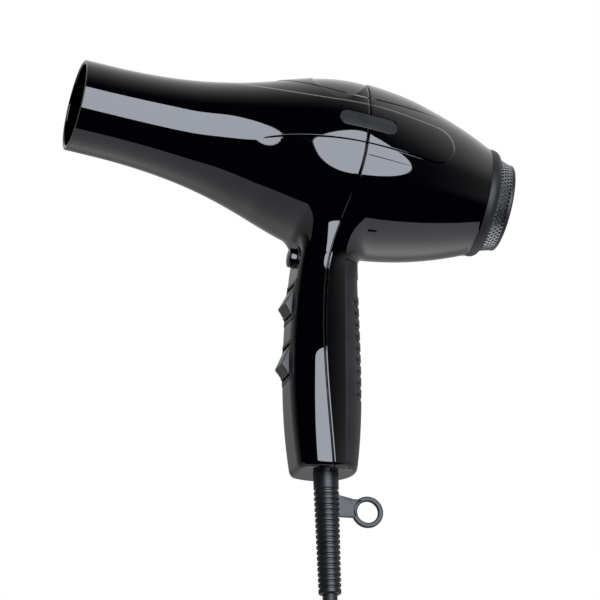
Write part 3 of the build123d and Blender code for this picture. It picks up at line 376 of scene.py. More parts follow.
@dataclass(frozen=True)
class Barrel(Spot):
    """Turned form of the barrel: nozzle, flare, belly and tail, from the nozzle rim's middle."""

    axis_height: float = 114.3
    reach: float = 131.1
    lean: float = math.radians(9.9)
    x: float = -reach * math.cos(lean)
    z: float = axis_height + reach * math.sin(lean)
    nozzle_radius: float = 23.6
    spigot: float = 13.0
    flare_ease: float = 78.0
    belly_ease: float = 36.0
    belly: tuple[float, float] = (141.0, 45.1)
    back: tuple[float, float] = (180.0, 40.3)
    tail: tuple[float, float] = (214.0, 28.6)
    length: float = 215.0
    wall: float = 2.2
    rise: float = 0.5
    run_out: float = 60.0

    def table(self, rise: float = 0.0) -> Array:
        """Outline as stations and radii, from a belly that stands out by a rise.

        It is a straight spigot, a cubic Bezier flare and an arc through the back to the tail, with
        level run-outs past both ends.
        """
        t = np.linspace(0, 1, 1500)
        belly = self.belly[1] + rise
        ends = ((1 - t) ** 3, 3 * (1 - t) ** 2 * t, 3 * (1 - t) * t**2, t**3)
        first, last = self.spigot, self.belly[0]
        along = (first, first + self.flare_ease, last - self.belly_ease, last)
        out = (self.nozzle_radius, self.nozzle_radius, belly, belly)
        flare = np.array([sum(e * v for e, v in zip(ends, row)) for row in (along, out)])
        first = np.array((self.belly[0], belly))
        sides = np.array(((self.back[0], self.back[1] + rise), self.tail)) - first
        centre = first + np.linalg.solve(2 * sides, (sides**2).sum(axis=1))
        size = np.linalg.norm(first - centre)
        station = np.linspace(first[0], self.tail[0], 500)[1:]
        bow = np.stack([station, centre[1] + np.sqrt(size**2 - (station - centre[0]) ** 2)])
        start = np.array([[-self.run_out], [self.nozzle_radius]])
        end = np.array([[self.length + self.run_out], [self.tail[1]]])
        return np.concatenate([start, flare, bow, end], axis=1)

    def radius(self, station: Array) -> Array:
        """Outside radius at stations."""
        return np.interp(station, *BARREL_TABLE)

    def slope(self, station: Array) -> Array:
        """How fast the radius grows with the station, by a central difference."""
        step = 0.4
        return (self.radius(station + step) - self.radius(station - step)) / (2 * step)

    def distance(self, points: Array) -> Array:
        """Distance outside the barrel: radius less the outline, over the length of its gradient."""
        station, across, over = self.locate(points)
        gap = np.hypot(across, over) - self.radius(station)
        return gap / np.sqrt(1 + self.slope(station) ** 2)


BARREL = Barrel()
BARREL_TABLE = BARREL.table()


@dataclass(frozen=True)
class Handle:
    """Form of the pistol grip: level oval sections with a flat front, faired along their height."""

    centre: float = 1.0
    foot: float = -49.2
    heights: tuple[float, ...] = (-49.2, 5.0, 55.0, 90.0)
    rears: tuple[float, ...] = (17.2, 19.7, 18.1, 18.6)
    noses: tuple[float, ...] = (20.0, 23.5, 21.5, 22.0)
    widths: tuple[float, ...] = (18.5, 19.5, 18.6, 19.4)
    face_x: float = -18.2
    face_radius: float = 337.0
    face_height: float = 4.0
    face_span: tuple[float, float] = (-58.2, 120.0)
    edge_round: float = 3.0
    foot_round: float = 3.0
    root_round: float = 6.0
    root_swell: float = 14.0

    def face(self, height: Array | float) -> Array:
        """Where the flat front stands at a height: an arc in side view."""
        rise = np.asarray(height) - self.face_height
        return self.face_x + self.face_radius - np.sqrt(self.face_radius**2 - rise**2)

    def tilt(self, height: float) -> float:
        """How far the front leans back at a height, in radians."""
        return math.asin((height - self.face_height) / self.face_radius)

    def sizes(self, height: Array) -> tuple[Array, ...]:
        """Rear radius, front radius and half width at heights: a cubic through four sections."""
        at = np.clip(height, self.heights[0], self.heights[-1])
        rows = (self.rears, self.noses, self.widths)
        return tuple(np.polyval(np.polyfit(self.heights, row, 3), at) for row in rows)

    def distance(self, points: Array) -> Array:
        """Distance outside the grip: its ovals, cut by the front and foot with rounded edges."""
        x, y, z = points[..., 0] - self.centre, points[..., 1], points[..., 2]
        rear, nose, width = self.sizes(z)
        along = np.where(x > 0, rear, nose)
        reach = np.sqrt((x / along) ** 2 + (y / width) ** 2)
        grade = np.sqrt((x / along**2) ** 2 + (y / width**2) ** 2)
        oval = (reach - 1) * reach / np.maximum(grade, TINY)
        face = self.face(np.clip(z, *self.face_span)) - points[..., 0]
        return round_cut(round_cut(oval, face, self.edge_round), self.foot - z, self.foot_round)

    def root(self, points: Array) -> Array:
        """Radius of the hollow at the grip's root: small at front and back, larger at the sides."""
        x, y = points[..., 0] - self.centre, points[..., 1]
        return self.root_round + self.root_swell * y**4 / np.maximum((x**2 + y**2) ** 2, TINY)

    def outline(self, angle: Array, height: float) -> Array:
        """Points near the grip's section at a height, at angles about its centre."""
        rear, nose, width = (float(v) for v in self.sizes(np.array(height)))
        c, s = np.cos(angle), np.sin(angle)
        along = np.where(c > 0, rear, nose)
        reach = 1 / np.sqrt((c / along) ** 2 + (s / width) ** 2)
        limit = (self.centre - float(self.face(height))) / np.maximum(-c, TINY)
        reach = np.where(c < 0, np.minimum(reach, limit), reach)
        return np.stack([self.centre + reach * c, reach * s, np.full_like(c, height)], axis=-1)


HANDLE = Handle()


def round_cut(first: Array, second: Array, radius: float) -> Array:
    """Distance to what two forms share, with the edge between them rounded."""
    one, two = np.maximum(first + radius, 0), np.maximum(second + radius, 0)
    return np.minimum(-radius, np.maximum(first, second)) + np.hypot(one, two)


def round_join(first: Array, second: Array, radius: Array | float) -> Array:
    """Distance to two forms together, with the hollow between them rounded."""
    one, two = np.maximum(radius - first, 0), np.maximum(radius - second, 0)
    return np.maximum(radius, np.minimum(first, second)) - np.hypot(one, two)


def casing_distance(points: Array) -> Array:
    """Distance outside the whole casing: barrel and grip with a soft root between them."""
    return round_join(BARREL.distance(points), HANDLE.distance(points), HANDLE.root(points))


def casing_normal(points: Array, step: float = 0.05) -> Array:
    """Outward direction of the casing: the gradient of its distance, by central differences."""
    moves = step * np.eye(3)
    ends = [casing_distance(points + move) - casing_distance(points - move) for move in moves]
    grade = np.stack(ends, axis=-1)
    return grade / np.maximum(np.linalg.norm(grade, axis=-1, keepdims=True), 1e-9)


def onto_casing(points: Array, rounds: int = 5) -> Array:
    """Points moved along the casing's outward direction until they lie on it."""
    for _ in range(rounds):
        points = points - casing_distance(points)[..., None] * casing_normal(points)
    return points


@dataclass(frozen=True)
class Relief:
    """Raised hood, side panels and faint moulding line, by distances on the barrel's side.

    An edge is a row of stations and heights over the barrel axis, with the slopes at its ends.
    """

    panel_top: tuple[tuple[float, float], ...] = (
        (50.0, 38.0), (74.0, 28.4), (97.0, 25.2), (120.0, 23.8), (150.0, 24.7), (181.0, 23.0)
    )
    top_slopes: tuple[float, float] = (-0.5, -0.05)
    panel_low: tuple[tuple[float, float], ...] = (
        (50.0, -26.0), (92.0, -5.3), (117.0, 0.0), (150.0, 2.2), (181.0, 2.0)
    )
    low_slopes: tuple[float, float] = (0.5, 0.0)
    panel_end: tuple[float, float, float] = (181.0, 12.5, 10.45)
    hood: tuple[tuple[float, float], ...] = (
        (88.0, 38.5), (100.0, 35.4), (120.5, 31.0), (131.0, 29.4), (152.0, 29.6), (200.0, 31.4)
    )
    hood_slopes: tuple[float, float] = (-0.3, 0.05)
    hood_lead: float = 12.0
    hood_fade: tuple[float, float] = (166.0, 22.0)
    line: tuple[float, float, float] = (146.0, 170.0, -4.0)
    far: float = 6.0
    flattest: float = 0.22
    step_run: float = 1.2

    def edges(self, points: Array) -> tuple[Array, Array, Array]:
        """Distances in millimetres along the surface: into the panel and hood, and off the line.

        A height's distance is divided by the cosine of the angle above the axis, because the side
        view shortens it there.
        """
        station, across, over = BARREL.locate(points)
        flat = np.abs(across) / np.maximum(np.hypot(across, over), TINY)
        flat = np.maximum(flat, self.flattest)
        top = np.interp(station, *spline_table(self.panel_top, *self.top_slopes))
        low = np.interp(station, *spline_table(self.panel_low, *self.low_slopes))
        brow = np.interp(station, *spline_table(self.hood, *self.hood_slopes))
        panel = np.minimum(top - over, over - low) / flat
        centre, lift, size = self.panel_end
        end = size - np.hypot(station - centre, over - lift)
        panel = np.where(station > centre, end, panel)
        ahead = station < self.hood[0][0] - self.hood_lead
        hood = np.where(ahead, -self.far, (over - brow) / flat)
        start, end, level = self.line
        past = np.maximum(np.abs(station - (start + end) / 2) - (end - start) / 2, 0)
        line = np.hypot(past, (over - level) / flat)
        return tuple(np.clip(edge, -self.far, self.far) for edge in (panel, hood, line))

    def rise(self, points: Array) -> Array:
        """How far the surface stands up at points: the fuller outline inside a panel or hood."""
        station = BARREL.locate(points)[0]
        full = np.interp(station, *BARREL.table(BARREL.rise)) - BARREL.radius(station)
        panel, hood = (ease(edge / self.step_run) for edge in self.edges(points)[:2])
        return full * np.maximum(panel, hood * self.hood_hold(station))

    def hood_hold(self, station: Array) -> Array:
        """Share of the hood's step that is left at stations: it dies away to the rear."""
        start, length = self.hood_fade
        return 1 - ease((station - start) / length)


RELIEF = Relief()


# ---- shader maths -----------------------------------------------------------------------------


class Value:
    """One socket of a node tree, with the arithmetic that the finishes need."""

    def __init__(self, board: Board, socket: bpy.types.NodeSocket) -> None:
        """Wrap a socket of a board's node tree."""
        self.board = board
        self.socket = socket

    def __add__(self, other: Value | float) -> Value:
        """Sum."""
        return self.board.maths("ADD", self, other)

    def __sub__(self, other: Value | float) -> Value:
        """Difference."""
        return self.board.maths("SUBTRACT", self, other)

    def __rsub__(self, other: Value | float) -> Value:
        """Difference with the value second."""
        return self.board.maths("SUBTRACT", other, self)

    def __mul__(self, other: Value | float) -> Value:
        """Product."""
        return self.board.maths("MULTIPLY", self, other)

    __radd__ = __add__
    __rmul__ = __mul__

    def high(self, other: Value | float) -> Value:
        """The larger of two values."""
        return self.board.maths("MAXIMUM", self, other)

    def size(self) -> Value:
        """Value without its sign."""
        return self.board.maths("ABSOLUTE", self, 0.0)

    def eased(self, start: float, end: float) -> Value:
        """Smooth share from 0 at start to 1 at end."""
        inputs = {"Value": self, "From Min": start, "From Max": end}
        smooth = {"interpolation_type": "SMOOTHSTEP"}
        return self.board.node("ShaderNodeMapRange", smooth, inputs, "Result")


class Board:
    """Node tree of one material or world under making."""

    def __init__(self, owner: bpy.types.Material | bpy.types.World) -> None:
        """Start on the node tree of a new material or world."""
        owner.use_nodes = True
        self.owner = owner
        self.tree = owner.node_tree
        self.shader = self.tree.nodes.get("Principled BSDF")

    @classmethod
    def material(cls, name: str) -> Board:
        """Board of a new material with a plain surface shader."""
        return cls(bpy.data.materials.new(name))

    def node(self, kind: str, settings: dict, inputs: dict, output: str | int = 0) -> Value:
        """Add a node.

        Args:
            kind: Blender's type name of the node.
            settings: Properties of the node, set first.
            inputs: Values or links by socket name or number.
            output: Socket to read.

        Returns:
            The output as a value.
        """
        made = self.tree.nodes.new(kind)
        for key, setting in settings.items():
            setattr(made, key, setting)
        for key, given in inputs.items():
            self.feed(made.inputs[key], given)
        return Value(self, made.outputs[output])

    def feed(self, socket: bpy.types.NodeSocket, given: Value | float | Sequence[float]) -> None:
        """Link a value to a socket, or set the socket's own number or colour."""
        if isinstance(given, Value):
            self.tree.links.new(given.socket, socket)
        else:
            socket.default_value = given

    def maths(self, operation: str, first: Value | float, second: Value | float) -> Value:
        """One Math node."""
        return self.node("ShaderNodeMath", {"operation": operation}, {0: first, 1: second})

    def place(self) -> Value:
        """Object coordinates."""
        return self.node("ShaderNodeTexCoord", {}, {}, "Object")

    def parts(self, vector: Value, names: str) -> list[Value]:
        """Parts of a vector by their letters."""
        return [self.node("ShaderNodeSeparateXYZ", {}, {0: vector}, name) for name in names]

    def noise(self, size: float, detail: float, stretch: Sequence[float] = (1, 1, 1)) -> Value:
        """Noise whose grains are about size millimetres across, drawn out by a stretch."""
        scale = [1.0 / (size * MM * part) for part in stretch]
        inputs = {"Vector": self.place(), "Scale": scale}
        moved = self.node("ShaderNodeMapping", {}, inputs, "Vector")
        inputs = {"Vector": moved, "Scale": 1.0, "Detail": detail, "Roughness": 0.55}
        return self.node("ShaderNodeTexNoise", {}, inputs)

    def mark(self, name: str) -> Value:
        """A number kept at the piece's points."""
        return self.node("ShaderNodeAttribute", {"attribute_name": name}, {}, "Fac")

    def blend(self, share: Value, low: Sequence[float], high: Sequence[float]) -> Value:
        """Colour between two by a share."""
        inputs = {0: share, 6: (*low, 1.0), 7: (*high, 1.0)}
        return self.node("ShaderNodeMix", {"data_type": "RGBA"}, inputs, 2)

    def bump(self, height: Value) -> Value:
        """Normal of a surface that stands up by a height in millimetres."""
        return self.node("ShaderNodeBump", {}, {"Height": height, "Distance": MM, "Strength": 1.0})

    def surface(self, **inputs: Value | float | Sequence[float]) -> bpy.types.Material:
        """Feed the shader by its sockets' names with underscores, and return the material."""
        for key, given in inputs.items():
            self.feed(self.shader.inputs[key.replace("_", " ")], given)
        return self.owner


@dataclass(frozen=True)
class GlossShell:
    """Polished black moulding with a clear, deep shine, faint haze and hairline marks."""

    name: str
    colour: tuple[float, float, float] = (0.0006, 0.0006, 0.0012)
    dusty: tuple[float, float, float] = (0.004, 0.004, 0.005)
    index: float = 1.7
    creased: bool = False
    panel_crease: tuple[float, float] = (-0.6, 0.6)
    hood_crease: tuple[float, float] = (-0.5, 0.5)
    line_width: float = 0.32
    line_depth: float = 0.12
    lip: tuple[float, float] = (0.25, 0.95)
    lip_drop: float = 0.24

    def make(self) -> bpy.types.Material:
        """Material: smooth coat, haze in the roughness, and the relief's creases where asked."""
        board = Board.material(self.name)
        haze = board.noise(18.0, 4.0)
        hair = board.noise(2.2, 2.0, (9, 1, 1)).eased(0.62, 0.78)
        rough = 0.015 + haze * 0.03 + hair * 0.03
        dust = board.noise(0.45, 1.0).eased(0.70, 0.80)
        colour = board.blend(dust * 0.35, self.colour, self.dusty)
        height = board.noise(26.0, 2.0) * 0.02
        if self.creased:
            height = height + self.creases(board)
        return board.surface(
            Base_Color=colour, Roughness=rough, IOR=self.index, Normal=board.bump(height)
        )

    def creases(self, board: Board) -> Value:
        """Height of the panel and hood, less the faint line and the seam's soft lips."""
        outside = 1 - board.mark("panel_edge").eased(*self.panel_crease)
        panel = 1 - outside * board.mark("panel_hold")
        hood = board.mark("hood_edge").eased(*self.hood_crease) * board.mark("hood_hold")
        line = 1 - board.mark("line_edge").eased(0.0, self.line_width)
        lip = 1 - board.mark("seam_edge").eased(*self.lip)
        return panel.high(hood) * BARREL.rise - line * self.line_depth - lip * self.lip_drop


@dataclass(frozen=True)
class Moulded:
    """Plain moulded plastic or rubber with a fine texture, and paler worn spots."""

    name: str
    colour: tuple[float, float, float]
    painted_light_share: tuple[float, float, float]
    rough: float
    grain: float = 0.5
    depth: float = 0.048

    def make(self) -> bpy.types.Material:
        """Material: spark-eroded grain in the bump, slow drift of colour and shine."""
        board = Board.material(self.name)
        drift = board.noise(14.0, 3.0)
        grain = board.noise(self.grain, 2.0)
        return board.surface(
            Base_Color=board.blend(drift.eased(0.35, 0.75), self.colour, self.painted_light_share),
            Roughness=self.rough - 0.06 + drift * 0.08 + grain * 0.06,
            Normal=board.bump(grain * self.depth),
        )


@dataclass(frozen=True)
class Metal:
    """Bare or plated metal with a drawn grain."""

    name: str
    colour: tuple[float, float, float]
    tarnish: tuple[float, float, float]
    rough: float = 0.3
    stretch: tuple[float, float, float] = (6, 1, 1)

    def make(self) -> bpy.types.Material:
        """Material: long scratches in the roughness, patches of tarnish."""
        board = Board.material(self.name)
        patch = board.noise(7.0, 4.0).eased(0.4, 0.75)
        drawn = board.noise(0.7, 3.0, self.stretch)
        return board.surface(
            Base_Color=board.blend(patch, self.colour, self.tarnish),
            Metallic=1.0,
            Roughness=self.rough - 0.08 + drawn * 0.16,
            Normal=board.bump(drawn * 0.02),
        )


@dataclass(frozen=True)
class Sheet:
    """Flaky mica sheet: layered and faintly mottled."""

    name: str
    colour: tuple[float, float, float] = (0.42, 0.33, 0.22)
    painted_light_share: tuple[float, float, float] = (0.62, 0.54, 0.42)

    def make(self) -> bpy.types.Material:
        """Material: flakes from stretched noise in colour, roughness and height."""
        board = Board.material(self.name)
        flake = board.noise(3.0, 5.0, (2, 1, 1))
        return board.surface(
            Base_Color=board.blend(flake.eased(0.35, 0.7), self.colour, self.painted_light_share),
            Roughness=0.35 + flake * 0.25,
            Normal=board.bump(flake * 0.05),
        )


SATIN = ((0.010, 0.010, 0.011), (0.016, 0.016, 0.018))

FINISHES = {
    "casing": GlossShell("gloss_black_moulding", creased=True),
    "switch": Moulded("switch_satin", *SATIN, 0.36, 0.35),
    "mark": Moulded("mark_white", (0.75, 0.75, 0.74), (0.65, 0.65, 0.64), 0.5),
    "gloss_black": GlossShell("gloss_black_trim"),
    "satin_black": Moulded("grip_satin", *SATIN, 0.40),
    "matte_black": Moulded("filter_matte", (0.007, 0.0075, 0.009), (0.011, 0.011, 0.013), 0.48),
    "badge_grey": Moulded(
        "badge_satin", (0.017, 0.018, 0.020), (0.025, 0.026, 0.029), 0.34, 0.35
    ),
    "guard_rubber": Moulded(
        "guard_rubber", (0.008, 0.009, 0.011), (0.013, 0.014, 0.017), 0.34, 0.4
    ),
    "cord_rubber": Moulded("cord_sheath", (0.012, 0.012, 0.013), (0.02, 0.02, 0.022), 0.45, 0.6),
    "steel_mesh": Metal("filter_steel", (0.36, 0.37, 0.39), (0.28, 0.29, 0.31), 0.26),
    "zinc_steel": Metal("zinc_steel", (0.55, 0.56, 0.58), (0.40, 0.41, 0.44)),
    "mica": Sheet("mica_sheet"),
    "nichrome": Metal("nichrome", (0.42, 0.39, 0.36), (0.30, 0.25, 0.22), 0.38),
    "brass": Metal("brass", (0.72, 0.50, 0.20), (0.50, 0.33, 0.14), 0.28),
    "copper": Metal("copper", (0.75, 0.33, 0.18), (0.50, 0.20, 0.11), 0.25),
    "nylon_dark": Moulded("nylon_dark", (0.016, 0.016, 0.017), (0.024, 0.024, 0.026), 0.5),
    "iron_core": Metal("iron_core", (0.32, 0.32, 0.33), (0.20, 0.18, 0.17), 0.45, (1, 9, 9)),
    "magnet": Moulded("ferrite", (0.055, 0.053, 0.052), (0.08, 0.078, 0.075), 0.6),
    "carbon": Moulded("brush_carbon", (0.018, 0.018, 0.018), (0.035, 0.034, 0.033), 0.5),
}


class Palette:
    """Every finish of the dryer, made once."""

    def __init__(self) -> None:
        """Make the materials."""
        self.made = {name: finish.make() for name, finish in FINISHES.items()}

    def coat(self, piece: bpy.types.Object, finish: str) -> None:
        """Give a piece one finish in place of any that it has."""
        piece.data.materials.clear()
        piece.data.materials.append(self.made[finish])

    def seat(
        self, piece: bpy.types.Object, body: str, slot: str, *nodes: str, finish: str = ""
    ) -> bpy.types.Object:
        """Seat a finished piece on the dryer.

        Args:
            piece: The new piece.
            body: Body that it rides on.
            slot: Its slot in the record, which also names its finish.
            nodes: CAD nodes that it stands for.
            finish: Name of another finish, where the slot's own isn't meant.

        Returns:
            The piece.
        """
        self.coat(piece, finish or slot)
        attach(piece, body)
        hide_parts(*nodes)
        return piece


# ---- casing -----------------------------------------------------------------------------------


class Side(Enum):
    """Which shell of the casing: ahead of the seam or behind it."""

    FRONT = -1
    REAR = 1


@dataclass(frozen=True)
class Lean:
    """Windows and angles by which the casing's reflections lean from its plain form.

    A window is a start, the length of its fade, an end and the length of that fade, in millimetres.
    """

    flare_shift: float = 9.0
    flare_window: tuple[float, float, float, float] = (-75.0, 25.0, 30.0, 25.0)
    flare_floor: float = 96.0
    flare_fade: float = 10.0
    flare_more: tuple[float, float, float] = (12.0, -22.0, 12.0)
    tail_true: float = 79.6
    side_share: tuple[float, float] = (0.6, 0.3)
    waist: float = math.radians(13.0)
    waist_window: tuple[float, float, float, float] = (7.0, 9.0, 62.5, 2.0)
    waist_past: float = 1.2
    behind: float = math.radians(17.0)
    behind_reach: float = 14.0
    behind_top: tuple[float, float] = (88.0, 6.0)
    neck_window: tuple[float, float, float, float] = (61.0, 2.0, 78.5, 4.0)
    neck_start: tuple[float, float] = (-10.5, 3.0)
    neck_side: tuple[float, float] = (11.0, 4.0)
    neck_fall: float = 0.06

    def directions(self, points: Array, seam: Array) -> Array:
        """Outward directions, with the slight hollows and swells of the mouldings' sides.

        The flare takes the directions of points a little further forward. The waist of the grip
        leans up, the rear shell's side turns back beside the seam, and the neck stands upright,
        each eased to nothing at its ends.

        Args:
            points: Points on the casing.
            seam: Where the seam stands at their heights.

        Returns:
            A unit direction for each point.
        """
        x, y, z = points.T
        more, start, length = self.flare_more
        fade = self.flare_fade + more * ease((x - start) / length)
        flare = within(x, *self.flare_window) * ease((z - self.flare_floor) / fade)
        ahead = points - np.stack([flare * self.flare_shift, 0 * x, 0 * x], axis=1)
        ahead[:, 0] = np.minimum(ahead[:, 0], self.tail_true)
        outward = casing_normal(ahead)
        side = ease((np.abs(outward[:, 1]) - self.side_share[0]) / self.side_share[1])
        off = x - seam
        neck = (off < 0) * within(z, *self.neck_window)
        neck = neck * ease((x - self.neck_start[0]) / self.neck_start[1])
        waist = (off < self.waist_past) * within(z, *self.waist_window) * side
        top, length = self.behind_top
        behind = (off > 0) * ease(1 - off / self.behind_reach) * ease((top - z) / length) * side
        outward[:, 2] += math.tan(self.waist) * waist
        outward[:, 0] += math.tan(self.behind) * behind
        neck = neck * ease((np.abs(y) - self.neck_side[0]) / self.neck_side[1])
        outward[:, 2] -= (outward[:, 2] + self.neck_fall) * neck
        return outward / np.linalg.norm(outward, axis=1, keepdims=True)


def read(parts: bpy.types.bpy_prop_collection, key: str, wide: int = 1) -> Array:
    """One property of all parts of a mesh, as rows where it has more than one number."""
    values = np.empty(len(parts) * wide, np.float32 if wide > 1 else np.int32)
    parts.foreach_get(key, values)
    return values.reshape(-1, wide) if wide > 1 else values


@dataclass
class Casing:
    """Front and rear shells: barrel, grip and the soft root between them, parted at the seam."""

    seam: tuple[tuple[float, float], ...] = (
        (-49.2, 2.6), (18.0, -2.5), (69.0, 1.7), (111.0, 12.7)
    )
    seam_slope: tuple[float, float] = (-0.1, 0.1537)
    gap: float = 0.6
    columns: int = 360
    lip: float = 0.6
    plain_to: float = 66.0
    plain_gaps: tuple[float, float] = (2.0, 1.5)
    spacing: float = 0.8
    tail_edge: float = 214.6
    hole_stations: tuple[float, float] = (107.0, 171.0)
    hole_half_turn: float = 41.0
    root_zone: tuple[float, float] = (60.0, 105.0)
    grip_top: float = 56.0
    strip: tuple[float, float, float] = (8.6, -46.0, 60.0)
    guard_hole: tuple[float, float] = (2.6, 6.6)
    badge: tuple[float, float, float, float] = (143.7, 13.8, 31.0, 8.7)
    badge_slide: float = 0.46
    switch_heights: tuple[float, float] = (39.5, 8.0)
    switch_cover: tuple[float, float] = (10.6, 10.0)
    button_cover: tuple[float, float] = (63.6, 5.8)
    front_zone: tuple[float, float] = (-8.0, 75.6)
    edge_depth: float = 1.3
    low_edge: tuple[float, float, float] = (6.0, 90.0, 12.0)
    lean: Lean = Lean()

    def seam_x(self, height: Array) -> Array:
        """Where the seam stands at heights: a clamped cubic, straight past its ends."""
        over = np.maximum(height - self.seam[-1][0], 0) * self.seam_slope[1]
        under = np.minimum(height - self.seam[0][0], 0) * self.seam_slope[0]
        return np.interp(height, *spline_table(self.seam, *self.seam_slope)) + over + under

    def stations(self) -> Array:
        """Stations of the outside rows, closer together from the flare to the tail."""
        stops = (self.lip, BARREL.spigot, self.plain_to, *self.hole_stations, self.tail_edge)
        gaps = (*self.plain_gaps, *[self.spacing] * 3)
        parts = [
            np.linspace(start, end, int((end - start) / gap), endpoint=False)
            for start, end, gap in zip(stops, stops[1:], gaps)
        ]
        return np.append(np.concatenate(parts), stops[-1])

    def badge_distance(self, station: Array, over: Array) -> Array:
        """Distance outside the badge's oval in side view: a capsule about its middle line."""
        at, lift, long, tall = self.badge
        along = np.maximum(np.abs(station - at) - (long - tall) / 2, 0)
        return np.hypot(along, over - lift) - tall / 2

    def barrel_grid(self) -> tuple[Array, tuple[int, int, int, int]]:
        """Outside of the barrel, and the rows and columns that bound the hole for the grip.

        Points near the badge's outline are slid onto it by its gradient, so that its pocket has a
        clean edge.
        """
        rows = self.stations()
        angle = np.radians(np.arange(self.columns) * 360 / self.columns)
        station, turn = np.meshgrid(rows, angle, indexing="ij")
        step = 0.02
        for _ in range(2):
            radius = BARREL.radius(station)
            over = radius * np.sin(turn)
            gap = self.badge_distance(station, over)
            along = (self.badge_distance(station + step, over) - gap) / step
            up = (self.badge_distance(station, over + step) - gap) / step
            near = (np.abs(gap) < self.badge_slide * self.spacing) & (over > 0)
            station = station - np.where(near, gap * along, 0)
            side = radius * np.cos(turn)
            side = np.where(np.abs(side) > 1, side, 1)
            turn = turn - np.where(near, gap * up / side, 0)
        radius = BARREL.radius(station)
        points = BARREL.place(station, radius * np.cos(turn), radius * np.sin(turn))
        reach, top = self.root_zone
        near_root = (points[..., 2] < top) & (np.abs(points[..., 0]) < reach)
        points[near_root] = onto_casing(points[near_root], 4)
        low, high = (int(np.argmin(np.abs(rows - s))) for s in self.hole_stations)
        below, per = 270, 360 / self.columns
        left, right = (round((below + s * self.hole_half_turn) / per) for s in (-1, 1))
        return points, (low, high, left, right)

    def outside(self) -> Skin:
        """Barrel, root patch and grip as one skin."""
        skin = Skin("casing")
        grid, (low, high, left, right) = self.barrel_grid()
        cells = quads(grid.shape[0], grid.shape[1], True)
        row, column = cells[:, 0] // self.columns, cells[:, 0] % self.columns
        in_hole = (row >= low) & (row < high) & (column >= left) & (column < right)
        station, _, over = BARREL.locate(grid.reshape(-1, 3)[cells].mean(axis=1))
        in_badge = (self.badge_distance(station, over) < 0) & (over > 0)
        skin.add(grid, cells[~in_hole & ~in_badge])
        front, back = grid[low, left:right], grid[high, right:left:-1]
        loop = np.concatenate([front, grid[low:high, right], back, grid[high:low:-1, left]])
        angle = np.arctan2(loop[:, 1], loop[:, 0] - HANDLE.centre)
        skin.grid(self.root_patch(loop, angle), wrap=True)
        skin.grid(self.grip_grid(angle), wrap=True)
        return skin

    def root_patch(self, loop: Array, angle: Array) -> Array:
        """Rings from the barrel's hole to the grip's top, laid on the soft root.

        Each column is a quadratic Bezier over the corner where grip and barrel would meet, and its
        points are then moved onto the casing.
        """
        corner = HANDLE.outline(angle, 70.0)
        step = np.array([0, 0, 0.1])
        for _ in range(8):
            low = BARREL.distance(corner)
            corner[:, 2] -= low * step[2] / (BARREL.distance(corner + step) - low)
        foot = onto_casing(HANDLE.outline(angle, self.grip_top))
        foot[:, 2] = self.grip_top
        share = np.linspace(0, 1, 34)[:, None, None]
        patch = (1 - share) ** 2 * loop + 2 * share * (1 - share) * corner + share**2 * foot
        patch[1:-1] = onto_casing(patch[1:-1], 8)
        return patch

    def grip_grid(self, angle: Array) -> Array:
        """Rows of the grip from its top down to the hole for the cord guard."""
        bend = HANDLE.foot_round
        heights = np.linspace(self.grip_top, HANDLE.foot + bend, 90)
        sides = [HANDLE.outline(angle, z) for z in heights]
        middle = np.array([HANDLE.centre, 0, HANDLE.foot])
        flat = HANDLE.outline(angle, HANDLE.foot) - middle
        size = np.linalg.norm(flat, axis=1, keepdims=True)
        for turn in np.radians(np.arange(10, 100, 10)):
            ring = middle + flat * (1 - bend * (1 - math.cos(turn)) / size)
            ring[:, 2] += bend * (1 - math.sin(turn))
            sides.append(ring)
        rows = onto_casing(np.stack(sides))
        rows[0, :, 2] = self.grip_top
        at, radius = self.guard_hole
        level = np.full_like(angle, HANDLE.foot)
        hole = np.stack([at + radius * np.cos(angle), radius * np.sin(angle), level], axis=-1)
        share = np.linspace(0, 1, 12)[1:, None, None]
        return np.concatenate([rows, (1 - share) * rows[-1] + share * hole])

    def rims(self, skin: Skin) -> None:
        """Add the nozzle lip with the bore behind it, and the tail's end with its inside."""
        half = BARREL.wall / 2
        bore, back = np.linspace(64, 0.9, 24), np.linspace(BARREL.length - 0.2, 186, 16)
        front, inside = (
            np.stack([at, BARREL.radius(at) - BARREL.wall], axis=1) for at in (bore, back)
        )
        lip = arc(self.lip, BARREL.nozzle_radius - half, (-self.lip, half), -1, 1, 9)
        skin.grid(BARREL.turned(np.vstack([front, lip]), self.columns), wrap=True)
        end, tail = BARREL.length, BARREL.tail[1]
        edge = [[self.tail_edge, tail], [end, tail - 0.17], [end, tail - BARREL.wall]]
        skin.grid(BARREL.turned(np.vstack([edge, inside]), self.columns), wrap=True)

    def shell(self, whole: bpy.types.Mesh, side: Side, name: str) -> bpy.types.Object:
        """One shell cut from the whole casing.

        The points are sheared so that the seam stands upright, cut, and sheared back. The cut edges
        get a narrow wall that runs inwards.

        Args:
            whole: Mesh of the whole casing.
            side: Which side of the seam to keep.
            name: Name of the piece.

        Returns:
            The shell's object.
        """
        work = bmesh.new()
        work.from_mesh(whole)
        bmesh.ops.remove_doubles(work, verts=work.verts, dist=2 * MERGE)
        self.shear(work, -1)
        at = side.value * self.gap / 2 * MM
        bmesh.ops.bisect_plane(
            work,
            geom=work.verts[:] + work.edges[:] + work.faces[:],
            plane_co=Vector((at, 0, 0)),
            plane_no=Vector((side.value, 0, 0)),
            clear_inner=True,
            dist=CLOSE,
        )
        walls = [
            edge
            for edge in work.edges
            if edge.is_boundary and all(abs(v.co.x - at) < MERGE for v in edge.verts)
        ]
        self.shear(work, 1)
        if side is Side.REAR:
            walls += self.open_strip(work)
        walls += self.badge_edges(work)
        self.edge_walls(work, walls)
        self.open_front(work)
        mesh = bpy.data.meshes.new(name)
        work.to_mesh(mesh)
        work.free()
        self.dress(mesh)
        return link(bpy.data.objects.new(name, mesh))

